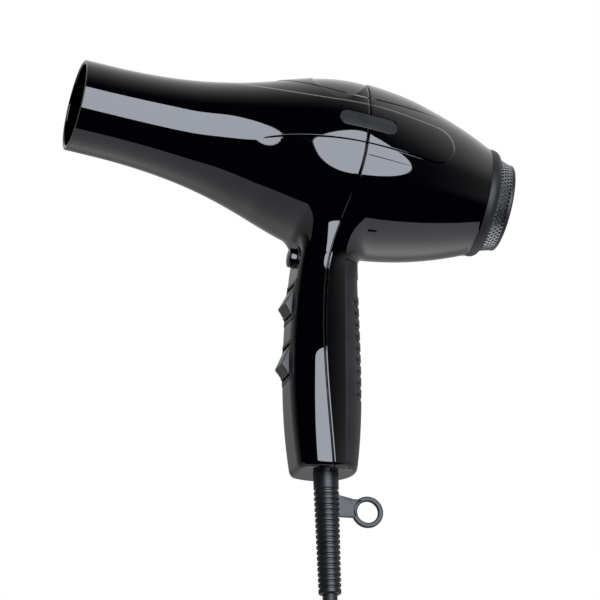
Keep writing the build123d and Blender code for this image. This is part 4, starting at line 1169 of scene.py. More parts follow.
    def shear(self, work: bmesh.types.BMesh, sign: int) -> None:
        """Move every point along X by the seam's place at its height, back or forward."""
        heights = np.array([v.co.z for v in work.verts]) / MM
        for vert, move in zip(work.verts, self.seam_x(heights) * MM * sign):
            vert.co.x += move

    def open_strip(self, work: bmesh.types.BMesh) -> list[bmesh.types.BMEdge]:
        """Cut the seat of the grip strip out of the rear shell and return its edges."""
        start, low, high = (v * MM for v in self.strip)
        ahead, up = (1, 0, 0), (0, 0, 1)
        for at, way in (((start, 0, 0), ahead), ((0, 0, low), up), ((0, 0, high), up)):
            near = [f for f in work.faces if f.calc_center_median().z < high + 2 * MM]
            geom = {part for f in near for part in (f, *f.edges, *f.verts)}
            bmesh.ops.bisect_plane(work, geom=list(geom), plane_co=at, plane_no=way, dist=CLOSE)
        middles = ((f, f.calc_center_median()) for f in work.faces)
        inside = {f for f, c in middles if c.x > start and low < c.z < high}
        edges = {e for f in inside for e in f.edges if any(g not in inside for g in e.link_faces)}
        bmesh.ops.delete(work, geom=list(inside), context="FACES")
        return [e for e in edges if e.is_valid]

    def badge_edges(self, work: bmesh.types.BMesh) -> list[bmesh.types.BMEdge]:
        """Open edges round the badges' pockets."""
        edges = [e for e in work.edges if e.is_boundary]
        middle = np.array([(e.verts[0].co + e.verts[1].co) / 2 for e in edges]) / MM
        station, _, over = BARREL.locate(middle)
        near = (np.abs(self.badge_distance(station, over)) < 0.3) & (over > 0)
        return [e for e, keep in zip(edges, near) if keep]

    def edge_walls(self, work: bmesh.types.BMesh, edges: list[bmesh.types.BMEdge]) -> None:
        """Draw a wall inwards from open edges, against the casing's outward direction."""
        made = bmesh.ops.extrude_edge_only(work, edges=list(dict.fromkeys(edges)))
        verts = [v for v in made["geom"] if isinstance(v, bmesh.types.BMVert)]
        points = np.array([v.co for v in verts]) / MM
        moved = points - casing_normal(points) * self.edge_depth
        for vert, to in zip(verts, moved * MM):
            vert.co = to

    def open_front(self, work: bmesh.types.BMesh) -> None:
        """Take out the faces that the switch frames and the button's collar cover."""
        tall, wide = self.switch_cover
        button, reach = self.button_cover
        back, top = self.front_zone
        hidden = []
        for face in work.faces:
            c = face.calc_center_median() / MM
            if c.x > back or c.z > top:
                continue
            in_frame = abs(c.y) < wide and any(abs(c.z - z) < tall for z in self.switch_heights)
            if in_frame or math.hypot(c.y, c.z - button) < reach:
                hidden.append(face)
        bmesh.ops.delete(work, geom=hidden, context="FACES")

    def dress(self, mesh: bpy.types.Mesh) -> None:
        """Keep the relief's distances at the points, raise the relief, and set the directions.

        A corner takes the casing's own leant direction where its face looks the same way, and its
        face's direction on walls and rims, so that reflections run clean over the outside.
        """
        points = read(mesh.vertices, "co", 3).astype(float) / MM
        seam = self.seam_x(points[:, 2])
        outward = self.lean.directions(points, seam)
        outer = np.abs(casing_distance(points)) < 0.2
        panel, hood, line = RELIEF.edges(points)
        station, _, over = BARREL.locate(points)
        level, start, length = self.low_edge
        marks = {
            "panel_edge": panel,
            "panel_hold": 1 - (over < level) * (1 - ease((station - start) / length)),
            "hood_edge": hood,
            "line_edge": line,
            "hood_hold": RELIEF.hood_hold(station),
            "seam_edge": np.minimum(np.abs(points[:, 0] - seam), RELIEF.far),
        }
        for name, values in marks.items():
            layer = mesh.attributes.new(name, "FLOAT", "POINT")
            layer.data.foreach_set("value", values.astype(np.float32))
        raised = points + casing_normal(points) * (RELIEF.rise(points) * outer)[:, None]
        mesh.vertices.foreach_set("co", (raised * MM).astype(np.float32).ravel())
        mesh.update()
        mesh.shade_smooth()
        corner = read(mesh.loops, "vertex_index")
        sizes = read(mesh.polygons, "loop_total")
        flat = np.repeat(read(mesh.polygons, "normal", 3), sizes, axis=0)
        soft, true = read(mesh.vertices, "normal", 3)[corner], outward[corner]
        use_true = outer[corner] & ((true * flat).sum(axis=1) > 0.6)
        use_soft = (soft * flat).sum(axis=1) > 0.75
        normals = np.where(use_true[:, None], true, np.where(use_soft[:, None], soft, flat))
        mesh.normals_split_custom_set(normals.tolist())

    def build(self, palette: Palette) -> None:
        """Make both shells."""
        skin = self.outside()
        self.rims(skin)
        whole = skin.mesh()
        for side, name in ((Side.FRONT, "front"), (Side.REAR, "rear")):
            shell = self.shell(whole, side, f"{name}_shell")
            palette.seat(shell, "housing", "gloss_black", f"{name}_housing", finish="casing")
        bpy.data.meshes.remove(whole)


@dataclass
class Badges:
    """Bare oval insets, one on each side panel, a little below the gloss."""

    station: float = 143.7
    lift: float = 13.8
    long: float = 30.8
    tall: float = 8.5
    sink: float = 0.25
    depth: float = 0.9
    edge: tuple[tuple[float, float], ...] = ((0.0, 0.12), (0.08, 0.04), (0.35, 0.0))
    insets: tuple[float, ...] = (0.9, 1.6, 2.4, 3.2, 4.2)

    def build(self, palette: Palette) -> None:
        """Make both: rings of the oval shrunk about its middle line, laid on the barrel."""
        at = np.arange(0, 260.0)
        full = np.interp(at, *BARREL.table(BARREL.rise))
        steps = [(0.0, self.depth), *((inset, self.sink + drop) for inset, drop in self.edge)]
        steps += [(inset, self.sink) for inset in self.insets]
        for name, side in (("left_badge", -1), ("right_badge", 1)):
            rings = []
            for inset, drop in steps:
                size = self.tall / 2 - inset
                ring = ring_outline(self.long - 2 * inset, 2 * size, size - 1e-3, 14, 22)
                station, over = self.station + ring[:, 0], self.lift + ring[:, 1]
                radius = np.interp(station, at, full) - drop
                rings.append(BARREL.place(station, side * np.sqrt(radius**2 - over**2), over))
            skin = Skin(name)
            skin.grid(np.stack(rings[::side]), wrap=True)
            palette.seat(skin.piece(closed=False), "housing", "badge_grey", f"{name}_inset")


@dataclass
class GripStrip:
    """Satin strip on the back of the grip, with pill-shaped grooves and a thumb rest."""

    start: float = 8.72
    low: float = -45.88
    high: float = 59.88
    thumb: tuple[float, float] = (48.0, 10.0)
    first: float = 38.5
    pitch: float = 6.1
    count: int = 9
    width: float = 24.0
    tall: float = 2.4
    depth: float = 0.35
    dimple: tuple[float, float, float] = (11.6, 1.9, 1.0)
    wall: float = 1.18
    edge_at: tuple[float, ...] = (0.0, 0.08, 0.22)
    edge_drop: tuple[float, ...] = (0.2, 0.05, 0.0)
    edge: float = 0.4

    def edge_rows(self, low: float, high: float, gap: float) -> tuple[Array, Array]:
        """Places from low to high with a soft, walled edge at both ends, and their drops."""
        soft, drop = np.array([0.0, *self.edge_at]), [self.wall, *self.edge_drop]
        run = np.linspace(low + self.edge, high - self.edge, int((high - low) / gap))
        places = np.concatenate([low + soft, run, high - soft[::-1]])
        return places, np.concatenate([drop, run * 0, drop[::-1]])

    def groove_depth(self, across: Array, height: Array) -> Array:
        """Depth of the grooves: a shallow pill with a deeper round end on each side."""
        depth = np.zeros(np.broadcast(across, height).shape)
        pills = [(self.first - k * self.pitch, self.tall) for k in range(self.count)]
        out, radius, deep = self.dimple
        for at, tall in [self.thumb, *pills]:
            along = np.maximum(np.abs(across) - (self.width - tall) / 2, 0)
            outside = np.hypot(along, height - at) - tall / 2
            depth = np.maximum(depth, self.depth * ease(0.5 - outside / 0.3))
            if tall == self.tall:
                outside = np.hypot(np.abs(across) - out, height - at) - radius
                depth = np.maximum(depth, deep * ease(0.5 - outside / 0.4))
        return depth

    def build(self, palette: Palette) -> None:
        """Make the strip: angle and height on the grip's rear oval, dropped along its normal."""
        height, drop_height = self.edge_rows(self.low, self.high, 0.3)
        whole = 1.0 + self.edge
        reach = self.edge_rows(-whole, whole, 0.02)[0] / whole
        rear, _, width = HANDLE.sizes(height)
        limit = np.arccos((self.start - HANDLE.centre) / rear)[:, None]
        from_edge = (1 - np.abs(reach)) * limit.mean() * rear.mean()
        drop_side = np.interp(from_edge, self.edge_at, self.edge_drop)
        drop_side[[0, -1]] = self.wall
        turn = limit * reach
        x = HANDLE.centre + rear[:, None] * np.cos(turn)
        y = width[:, None] * np.sin(turn)
        points = np.stack([x, y, np.repeat(height[:, None], len(reach), axis=1)], axis=-1)
        drop = np.maximum(drop_height[:, None], drop_side[None, :])
        drop = np.maximum(drop, self.groove_depth(y, height[:, None]))
        skin = Skin("rear_grip_strip")
        skin.grid(points - casing_normal(points) * drop[..., None])
        palette.seat(skin.piece(closed=False, crease=60), "housing", "satin_black", "grip_strip")


# ---- controls ---------------------------------------------------------------------------------


@dataclass
class RockerSwitch:
    """Rocker in its frame on the grip's face, with a ribbed finger nose and small marks."""

    name: str
    height: float
    flange: tuple[float, float, float] = (23.0, 21.4, 2.0)
    flange_edge: tuple[tuple[float, float], ...] = ((0.0, -0.8), (0.0, 0.05), (0.1, 0.22))
    flange_inset: float = 0.32
    proud: float = 0.35
    mouth: tuple[float, float, float] = (15.3, 17.5, 0.8)
    mouth_edge: tuple[tuple[float, float], ...] = ((-0.08, 0.12), (0.0, 0.4))
    mouth_land: float = 0.35
    mouth_depths: tuple[float, float] = (2.0, 6.8)
    width: float = 14.4
    half: float = 7.8
    pivot: tuple[float, float] = (5.2, 1.4)
    pin_reach: tuple[float, float] = (-1.0, 1.4)
    top_sink: float = 0.4
    tip: tuple[float, float] = (4.2, 2.6)
    heel: tuple[float, float] = (1.1, 6.6)
    belly: float = 3.2
    round: float = 0.55
    ribs: tuple[float, float] = (0.14, 0.78)
    rib_ends: tuple[float, float, float] = (0.5, 0.6, 0.4)
    marks_at: tuple[tuple[float, float, float, float], ...] = (
        (0.0, 3.2, 3.4, 0.55), (-0.9, 4.7, 0.8, 0.8), (0.9, 4.7, 0.8, 0.8)
    )

    @property
    def spot(self) -> Spot:
        """The switch's own place on the face."""
        return Spot(float(HANDLE.face(self.height)), self.height, HANDLE.tilt(self.height))

    def stand(self, ring: Array, lift: float) -> Array:
        """Points over a flat outline that stand off the casing by a lift, by Newton's rule."""
        across, over = ring[:, 0], ring[:, 1]
        depth, step = np.zeros(len(ring)), 0.05
        for _ in range(10):
            here = casing_distance(self.spot.place(depth, across, over)) - lift
            ahead = casing_distance(self.spot.place(depth + step, across, over)) - lift
            depth = depth - here * step / (ahead - here)
        return self.spot.place(depth, across, over)

    def frame(self, palette: Palette) -> None:
        """Make the frame: a flange laid on the casing, and a mouth that runs straight in."""
        edge = (*self.flange_edge, (self.flange_inset, self.proud))
        rings = [self.stand(shrunk(self.flange, inset, 6, 16), lift) for inset, lift in edge]
        outer = shrunk(self.flange, self.flange_inset, 6, 16)
        inner = shrunk(self.mouth, -self.mouth_land, 6, 16)
        for share in (0.25, 0.5, 0.75, 1.0):
            rings.append(self.stand((1 - share) * outer + share * inner, self.proud))
        for inset, drop in self.mouth_edge:
            rings.append(self.stand(shrunk(self.mouth, inset, 6, 16), self.proud - drop))
        wall = shrunk(self.mouth, 0.0, 6, 16)
        rings += [self.spot.place(depth, *wall.T) for depth in self.mouth_depths]
        skin = Skin(f"{self.name}_frame")
        skin.loft(rings, caps=False)
        skin.cap(rings[-1])
        piece = skin.piece(closed=False)
        palette.seat(piece, "housing", "satin_black", f"{self.name}_bezel", finish="switch")

    def side_view(self) -> Array:
        """Rocker's outline in depth and height: nose, heel and round belly, with soft corners.

        The nose's lower face carries ribs: a cosine along its run, faded at both ends.
        """
        tip, heel = -np.array(self.tip), -np.array(self.heel)
        turn = np.linspace(-0.9, 0.9, 9) * QUARTER
        belly = [(self.pivot[0] + self.belly * math.cos(a), self.half * math.sin(a)) for a in turn]
        shoulder = self.pivot[0] - 2
        top = [(shoulder, self.half), (self.top_sink, self.half)]
        foot = [(heel[0], -self.half), (shoulder, -self.half)]
        bends = [0, 0.8, 0.7, 0.8, 0.5, 0, *[0] * len(belly)]
        path = resample(rounded_path([*top, tip, heel, *foot, *belly], bends, 5), 0.13)
        size = float(np.linalg.norm(heel - tip))
        way = (heel - tip) / size
        out = np.array([way[1], -way[0]])
        along, off = (path - tip) @ way, np.abs((path - tip) @ out)
        start, end, fade = self.rib_ends
        hold = within(along, start, fade, size - end, fade) * (off < 0.15)
        height, pitch = self.ribs
        return path + out * (height * np.cos(along * 2 * math.pi / pitch) * hold)[:, None]

    def rocker(self, palette: Palette) -> None:
        """Make the rocker: its side view carried across the width, drawn in at both sides."""
        view = self.side_view()
        middle = np.array([self.pivot[0] - 3.0, 0.0])
        away = view - middle
        size = np.linalg.norm(away, axis=1, keepdims=True)
        half, bend = self.width / 2, self.round
        turns = np.linspace(0, QUARTER, 5)[::-1]
        left = [(-half + bend * (1 - math.sin(a)), bend * (1 - math.cos(a))) for a in turns]
        right = [(-y, inset) for y, inset in left[::-1]]
        spans = [(y, 0.0) for y in np.linspace(-half + bend, half - bend, 14)[1:-1]]
        rings = []
        for across, inset in [*left, *spans, *right]:
            ring = middle + away * (1 - inset / size)
            rings.append(self.spot.place(ring[:, 0], across, ring[:, 1]))
        skin = Skin(f"{self.name}_paddle")
        skin.loft(rings)
        depth, radius = self.pivot
        turn = np.radians(np.arange(0, 360, 20))
        pin = depth + radius * np.cos(turn), radius * np.sin(turn)
        for side in (-1, 1):
            reaches = [side * (half + reach) for reach in self.pin_reach]
            skin.loft([self.spot.place(pin[0], reach, pin[1]) for reach in reaches][::side])
        piece = skin.piece(crease=50)
        body, node = f"{self.name}_switch", f"{self.name}_rocker"
        palette.seat(piece, body, "satin_black", node, finish="switch")

    def marks(self, palette: Palette) -> None:
        """Make the plain marks printed on the rocker's upper face: a short bar and two dots."""
        top, tip = np.array([self.top_sink, self.half]), -np.array(self.tip)
        way = (tip - top) / np.linalg.norm(tip - top)
        out = np.array([way[1], -way[0]])
        skin = Skin(f"{self.name}_marks")
        for across, along, wide, tall in self.marks_at:
            ring = ring_outline(wide, tall, min(wide, tall) / 2 - 0.01, 4)
            rings = []
            for lift in (-0.1, 0.03):
                spots = top + way * along + ring[:, 1:] * way + out * lift
                rings.append(self.spot.place(spots[:, 0], across + ring[:, 0], spots[:, 1]))
            skin.loft(rings)
        palette.seat(skin.piece(), f"{self.name}_switch", "satin_black", finish="mark")

    def build(self, palette: Palette) -> None:
        """Make the frame, the rocker and its marks."""
        self.frame(palette)
        self.rocker(palette)
        self.marks(palette)


@dataclass
class CoolShot:
    """Round push button above the switches, in its collar."""

    x: float = -17.6
    z: float = 63.6
    tilt: float = math.radians(5.0)
    radius: float = 5.0
    dome: float = 1.0
    crown: float = 0.5
    skirt: tuple[float, float] = (5.8, 1.5)
    length: float = 8.6
    stem: tuple[float, float] = (1.6, 6.0)
    collar: float = 7.0
    proud: float = 0.5
    bore: float = 5.3
    pocket: float = 6.1
    step: float = 0.4
    depth: float = 8.0
    travel: float = 2.0
    coil: tuple[float, float, int] = (2.7, 0.35, 4)
    seat_gap: float = 0.15
    coil_gap: float = 0.05

    @property
    def spot(self) -> Spot:
        """The button's own place and axis."""
        return Spot(self.x, self.z, self.tilt)

    @property
    def face(self) -> float:
        """Depth of the grip's face behind the button's crown."""
        return float(HANDLE.face(self.z)) - self.x

    def spring(self, palette: Palette) -> None:
        """Make the spring round the stem: a helix of round wire."""
        radius, wire, turns = self.coil
        seat_depth = self.face + self.depth + self.seat_gap
        share = np.linspace(0, 1, 24 * turns + 1)[:, None]
        around = np.radians(np.arange(0, 360, 45))
        reach = radius + wire * np.cos(around)
        margin = wire + self.coil_gap
        start, end = self.length + margin, seat_depth - margin
        along = start + (end - start) * share + wire * np.sin(around)
        turn = 2 * math.pi * turns * share
        points = self.spot.place(along, reach * np.cos(turn), reach * np.sin(turn))
        skin = Skin("button_spring")
        skin.grid(points, wrap=True)
        skin.cap(points[0, ::-1])
        skin.cap(points[-1])
        piece = palette.seat(skin.piece(), "housing", "zinc_steel", "cool_shot_spring")
        foot, head = (self.spot.place(d, 0.0, 0.0) * MM for d in (seat_depth, self.length))
        tuple(foot - head)
        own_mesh(piece)

    def button(self, palette: Palette) -> None:
        """Make the button: a crowned, domed face, a skirt behind it and a stem."""
        edge = self.radius - self.dome
        flat = np.linspace(0, edge, 8)[:, None]
        crown = np.hstack([self.crown * (flat / edge) ** 2, flat])
        bend = arc(self.crown + self.dome, edge, (-self.dome, self.dome), 0, 1, 8)[1:]
        (wide, thick), (stem, reach) = self.skirt, self.stem
        end = self.length
        skirt = [[end - thick, self.radius], [end - thick, wide], [end, wide], [end, stem]]
        profile = np.vstack([crown, bend, skirt, [[end + reach, stem], [end + reach, 0]]])
        piece = self.spot.turned_piece("cool_button", profile)
        palette.seat(piece, "cool_shot", "gloss_black", "cool_shot_button")

    def cover(self, palette: Palette) -> None:
        """Make the collar, whose rim stands a little proud of the grip with soft edges."""
        face, rim = self.face, self.face - self.proud
        bore, collar, inside = self.bore, self.collar, self.collar - self.step
        shoulder, back = self.length - self.skirt[1] - 0.3, self.face + self.depth
        pocket = [[back, self.pocket], [shoulder, self.pocket], [shoulder, bore]]
        inner = [[rim + 0.25, bore], [rim + 0.07, bore + 0.07], [rim, bore + 0.25]]
        outer = [[rim, collar - 0.4], [rim + 0.12, collar - 0.12], [rim + 0.4, collar]]
        sides = [[face + 0.3, collar], [face + 0.3, inside], [back, inside], pocket[0]]
        piece = self.spot.turned_piece("cool_collar", [*pocket, *inner, *outer, *sides])
        palette.seat(piece, "housing", "satin_black", "cool_shot_collar", finish="switch")

    def build(self, palette: Palette) -> None:
        """Make the spring, the button and the collar."""
        self.spring(palette)
        self.button(palette)
        self.cover(palette)


# ---- rear filter ------------------------------------------------------------------------------


@dataclass
class RearFilter:
    """Pull-off filter: matte ring, perforated steel band, end rim and perforated end disc."""

    tail: float = 215.0
    gap: float = 0.16
    tail_radius: float = 28.6
    ring_end: float = 25.0
    ring_length: float = 6.0
    sleeve: tuple[float, float, float] = (26.1, 24.3, 210.0)
    band_radii: tuple[float, float] = (24.6, 22.6)
    band_length: float = 6.5
    gauge: float = 0.6
    rows: int = 4
    holes: int = 66
    hole: float = 0.79
    rim_length: float = 2.0
    rim_width: float = 3.4
    rim_round: float = 0.5
    disc_gauge: float = 0.7
    disc_pitch: float = 2.3
    disc_hole: float = 0.78
    facets: int = 144

    @property
    def rim_start(self) -> float:
        """Station at which the band ends and the rim starts."""
        return self.tail + self.ring_length + self.band_length

    def ring(self, palette: Palette) -> None:
        """Make the matte ring: a turned profile with a round shoulder."""
        start, end = self.tail + self.gap, self.tail + self.ring_length
        outer = self.tail_radius - 0.4
        flat = start + self.ring_length / 3
        shoulder = arc(flat, self.ring_end, (end - flat, outer - self.ring_end), 1, 0, 12)
        sleeve, inner, back = self.sleeve
        front = [[start, sleeve], [start, outer - 0.2], [start + 0.2, outer]]
        inside = [[end, inner], [back, inner], [back, sleeve], [start, sleeve]]
        profile = np.vstack([front, shoulder, inside])
        piece = BARREL.turned_piece("filter_collar", profile, self.facets)
        palette.seat(piece, "rear_filter", "matte_black", "filter_ring")

    def band(self, palette: Palette) -> None:
        """Make the perforated band.

        Each hole has its own cell of the grid: an eight-sided ring inside a square, with every
        other row turned by half a hole, and a wall through the metal.
        """
        start = self.tail + self.ring_length
        tall, wide = self.band_length / self.rows, 360 / self.holes
        square = ((1, 1), (0, 1), (-1, 1), (-1, 0), (-1, -1), (0, -1), (1, -1), (1, 0))
        down, round_it = np.array(square).T
        turns = np.radians(np.arange(8) * 45 + 45)
        number = np.arange(self.rows * self.holes)[:, None]
        row, number = number // self.holes, number % self.holes
        station, turn = start + (row + 0.5) * tall, (number + 0.5 * (row % 2)) * wide
        cell = station + down * tall / 2, turn + round_it * wide / 2
        reach = self.hole * math.degrees(2 / sum(self.band_radii))
        hole = station + self.hole * np.cos(turns), turn + reach * np.sin(turns)
        layers = []
        for (at, angle), drop in ((cell, 0), (hole, 0), (hole, self.gauge), (cell, self.gauge)):
            size = np.interp(at, [start, start + self.band_length], self.band_radii) - drop
            way = np.radians(angle)
            layers.append(BARREL.place(at, size * np.cos(way), size * np.sin(way)))
        self.mesh_piece(palette, "perforated_band", "filter_band", layers, True)

    def mesh_piece(
        self, palette: Palette, name: str, node: str, layers: Sequence[Array], flip: bool
    ) -> None:
        """Make a perforated piece from its holes' rings and seat it."""
        skin = Skin(name)
        skin.pierced(layers, flip)
        piece = skin.piece(closed=False, crease=40)
        palette.seat(piece, "rear_filter", "steel_mesh", node)

    def rim(self, palette: Palette) -> None:
        """Make the end rim with its rounded outer edge."""
        start, outer, bend = self.rim_start, self.band_radii[1], self.rim_length / 2
        inner, soft = outer - self.rim_width, self.rim_round
        out = arc(start + bend, outer - bend, bend, 1, 0, 8)
        inn = arc(start + bend, inner + soft, (bend, -soft), 0, 1, 8)
        profile = np.vstack([[[start, inner], [start, outer]], out, inn, [[start, inner]]])
        piece = BARREL.turned_piece("end_rim", profile, self.facets)
        palette.seat(piece, "rear_filter", "gloss_black", "filter_rim", finish="satin_black")

    def disc(self, palette: Palette) -> None:
        """Make the perforated end disc.

        Six-sided cells lie on a honeycomb of rows and columns, each with a six-sided hole, and
        points past the rim's inside are drawn back to it.
        """
        limit = self.band_radii[1] - self.rim_width + 0.2
        pitch, thick = self.disc_pitch, self.disc_gauge
        span = int(limit / pitch) + 2
        u, v = np.meshgrid(*[np.arange(-span, span + 1)] * 2, indexing="ij")
        across, over = (u + 0.5 * (v % 2)) * pitch, v * pitch * math.sqrt(3) / 2
        keep = np.hypot(across, over) < limit - 0.1
        across, over = across[keep][:, None], over[keep][:, None]
        corner = np.radians(np.arange(6) * 60 + 30)
        cell, hole = pitch / math.sqrt(3), self.disc_hole
        layers = []
        for size, depth in ((cell, thick), (hole, thick), (hole, 0.0), (cell, 0.0)):
            y, z = across + size * np.cos(corner), over + size * np.sin(corner)
            far = np.maximum(np.hypot(y, z) / limit, 1)
            layers.append(BARREL.place(self.rim_start + depth, y / far, z / far))
        self.mesh_piece(palette, "perforated_disc", "filter_end_mesh", layers, False)

    def build(self, palette: Palette) -> None:
        """Make the ring, band, rim and disc."""
        self.ring(palette)
        self.band(palette)
        self.rim(palette)
        self.disc(palette)


# ---- cord -------------------------------------------------------------------------------------


@dataclass
class CordGuard:
    """Ribbed rubber strain relief with a web and a round hanging eye on its back."""

    spot: Spot = Spot(2.6, -49.2, math.radians(88.0))
    length: float = 62.0
    radii: tuple[float, float] = (6.5, 5.8)
    plain: float = 7.4
    pitch: float = 2.8
    groove: float = 1.0
    groove_depth: float = 0.7
    inside: float = 7.0
    bore: float = 3.85
    web: float = 2.6
    web_round: float = 0.45
    eye: tuple[float, float] = (24.4, -67.6)
    eye_radii: tuple[float, float] = (5.5, 8.1)
    web_top: tuple[tuple[float, float], ...] = ((7.6, -58.6), (9.8, -59.7), (17.0, -61.3))
    web_foot: tuple[float, float] = (7.6, -70.8)

    def sleeve(self, skin: Skin) -> None:
        """Add the ribbed sleeve: a taper whose radius dips by a rounded groove at every pitch."""
        depth = np.arange(0.6, self.length - 0.6, 0.1)
        base = np.interp(depth, [0, self.length], self.radii)
        first = self.plain + self.groove
        off = np.mod(depth - first + self.pitch / 2, self.pitch) - self.pitch / 2
        ribbed = (depth > first - self.pitch / 2) & (depth < self.length - self.groove - 0.4)
        dip = ease((0.75 - np.abs(off)) / 0.4) * ribbed
        outer = np.stack([depth, base - self.groove_depth * dip], axis=1)
        (start, end), bore, back, foot = self.radii, self.bore, -self.inside, self.length
        top = [[back, bore], [back, start], [0, start]]
        low = [[foot - 0.3, end - 0.1], [foot, end - 0.5], [foot, bore], [back, bore]]
        skin.grid(self.spot.turned(np.vstack([top, outer, low]), 64), wrap=True)

    def hanger(self, skin: Skin) -> None:
        """Add the eye, a rounded section carried round its centre, and the web to the sleeve."""
        (x, z), (inner, outer) = self.eye, self.eye_radii
        middle = (inner + outer) / 2
        section = ring_outline(outer - inner, self.web, 0.75, 5, 2)
        turn = np.radians(np.arange(0, 360, 5))[:, None]
        reach = middle + section[:, 0]
        round_it = (x + reach * np.cos(turn), section[:, 1] + 0 * turn, z + reach * np.sin(turn))
        ring = np.stack(round_it, axis=-1)
        skin.grid(np.concatenate([ring, ring[:1]]), wrap=True)
        first, last = (
            math.pi - math.asin((level - z) / middle)
            for level in (self.web_top[-1][1], self.web_foot[1])
        )
        bow = np.linspace(first, last, 14)
        seat_arc = np.stack([x + middle * np.cos(bow), z + middle * np.sin(bow)], axis=1)
        plan = np.vstack([self.web_top, seat_arc, self.web_foot])
        away = plan - plan.mean(axis=0)
        size = np.linalg.norm(away, axis=1, keepdims=True)
        half, bend = self.web / 2, self.web_round
        rings = []
        for turn_by in np.linspace(0, math.pi, 9):
            inset = bend * (1 - math.sin(turn_by))
            side = -1 if turn_by < QUARTER else 1
            across = side * (half - bend) - bend * math.cos(turn_by)
            ring = plan.mean(axis=0) + away * (1 - inset / size)
            rings.append(np.insert(ring, 1, across, axis=1))
        skin.loft(rings)

    def build(self, palette: Palette) -> None:
        """Make the guard as one piece."""
        skin = Skin("strain_relief")
        self.sleeve(skin)
        self.hanger(skin)
        palette.seat(skin.piece(crease=50), "housing", "guard_rubber", "cord_guard")


@dataclass
class Lead:
    """Round rubber lead: down out of the guard, into a tied coil, and up into its plug."""

    diameter: float = 7.6
    route: tuple[tuple[float, float, float], ...] = (
        (4.77, 0.0, -111.2),
        (5.4, 0.0, -128.0),
        (2.0, 1.0, -147.0),
        (-8.0, 7.5, -165.5),
        (-20.5, 12.0, -182.0),
        (-33.0, 12.6, -198.0),
        (-42.5, 12.5, -214.0),
    )
    centre: tuple[float, float] = (4.5, -233.0)
    layers: tuple[float, float, float] = (51.8, 44.0, 36.2)
    plug_radius: float = 62.4
    plug_foot: tuple[float, float, float] = (66.9, 0.0, -237.0)
    plug_rise: float = 6.0
    per_turn: int = 16

    def coil(self) -> Array:
        """Control points of the coil.

        Three layers are wound from outside in, each a helix along Y, with a radius and a Y that are
        eased from layer to layer. The last turn crosses the coil's face and comes up at the plug.
        The radius is divided by cos(pi / n), because the spline cuts inside its control points.
        """
        far, mid, near = self.layers
        stops = np.array(
            [
                (180, far, 12.5),
                (180 + 3.2 * 360, far, -12.1),
                (180 + 3.6 * 360, mid, -11.5),
                (180 + 6.6 * 360, mid, 11.5),
                (180 + 7.0 * 360, near, 8.6),
                (140 + 9.0 * 360, near, -7.6),
                (200 + 9.0 * 360, near + 2.0, -19.9),
                (270 + 9.0 * 360, far + 8.0, -19.9),
                (330 + 9.0 * 360, self.plug_radius, -2.5),
                (342 + 9.0 * 360, self.plug_radius, 0.0),
            ]
        )
        at = stops[:, 0]
        angle = np.arange(at[0], at[-1] + 1, 360 / self.per_turn)
        span = np.clip(np.searchsorted(at, angle, side="right") - 1, 0, len(stops) - 2)
        length = np.diff(at)[span]
        share = (angle - at[span]) / length
        soft = np.where(length > 300, share, ease(share))[:, None]
        radius, across = (stops[span, 1:] + (stops[span + 1, 1:] - stops[span, 1:]) * soft).T
        radius = radius / math.cos(math.pi / self.per_turn)
        turn = np.radians(angle)
        x, z = self.centre
        return np.stack([x + radius * np.cos(turn), across, z + radius * np.sin(turn)], axis=1)

    def line(self) -> Array:
        """Control points of the whole lead."""
        foot = np.array(self.plug_foot)
        return np.vstack([self.route, self.coil(), foot - [0.0, 0.0, self.plug_rise], foot])

    def build(self, palette: Palette, extras: Sequence[bpy.types.Object]) -> None:
        points = self.line() * MM
        curve = bpy.data.curves.new("mains_lead", "CURVE")
        curve.dimensions = "3D"
        spline = curve.splines.new("NURBS")
        spline.points.add(len(points) - 1)
        full = np.hstack([points, np.ones((len(points), 1))])
        spline.points.foreach_set("co", full.astype(np.float32).ravel())
        spline.order_u = 3
        spline.use_endpoint_u = True
        spline.resolution_u = 4
        curve.bevel_depth = self.diameter / 2 * MM
        curve.bevel_resolution = 5
        curve.use_fill_caps = True
        piece = link(bpy.data.objects.new("mains_lead", curve))
        palette.seat(piece, "housing", "cord_rubber", "cord_lead", "cord_coil")


@dataclass
class CoilTie:
    """Flat strap round the top of the coil."""

    x: float = 4.5
    z: float = -189.0
    half_up: float = 12.6
    half_across: float = 16.8
    width: float = 9.0
    thickness: float = 1.2
    power: float = 2.6

    def build(self, palette: Palette) -> bpy.types.Object:
        """Make the strap: a superellipse loop with a rounded flat section."""
        turn = np.radians(np.arange(0, 360, 4))[:, None]
        section = ring_outline(self.width, self.thickness, 0.4, 3, 2)
        thick = self.thickness / 2 + section[:, 1]
        up, out = self.half_up + thick, self.half_across + thick
        c, s = np.cos(turn), np.sin(turn)
        size = (np.abs(c) ** self.power + np.abs(s) ** self.power) ** (-1 / self.power)
        loop = (self.x + section[:, 0] + 0 * turn, out * c * size, self.z + up * s * size)
        grid = np.stack(loop, axis=-1)
        skin = Skin("coil_strap")
        skin.grid(np.concatenate([grid, grid[:1]]), wrap=True)
        return palette.seat(skin.piece(crease=50), "housing", "satin_black", "cord_tie")


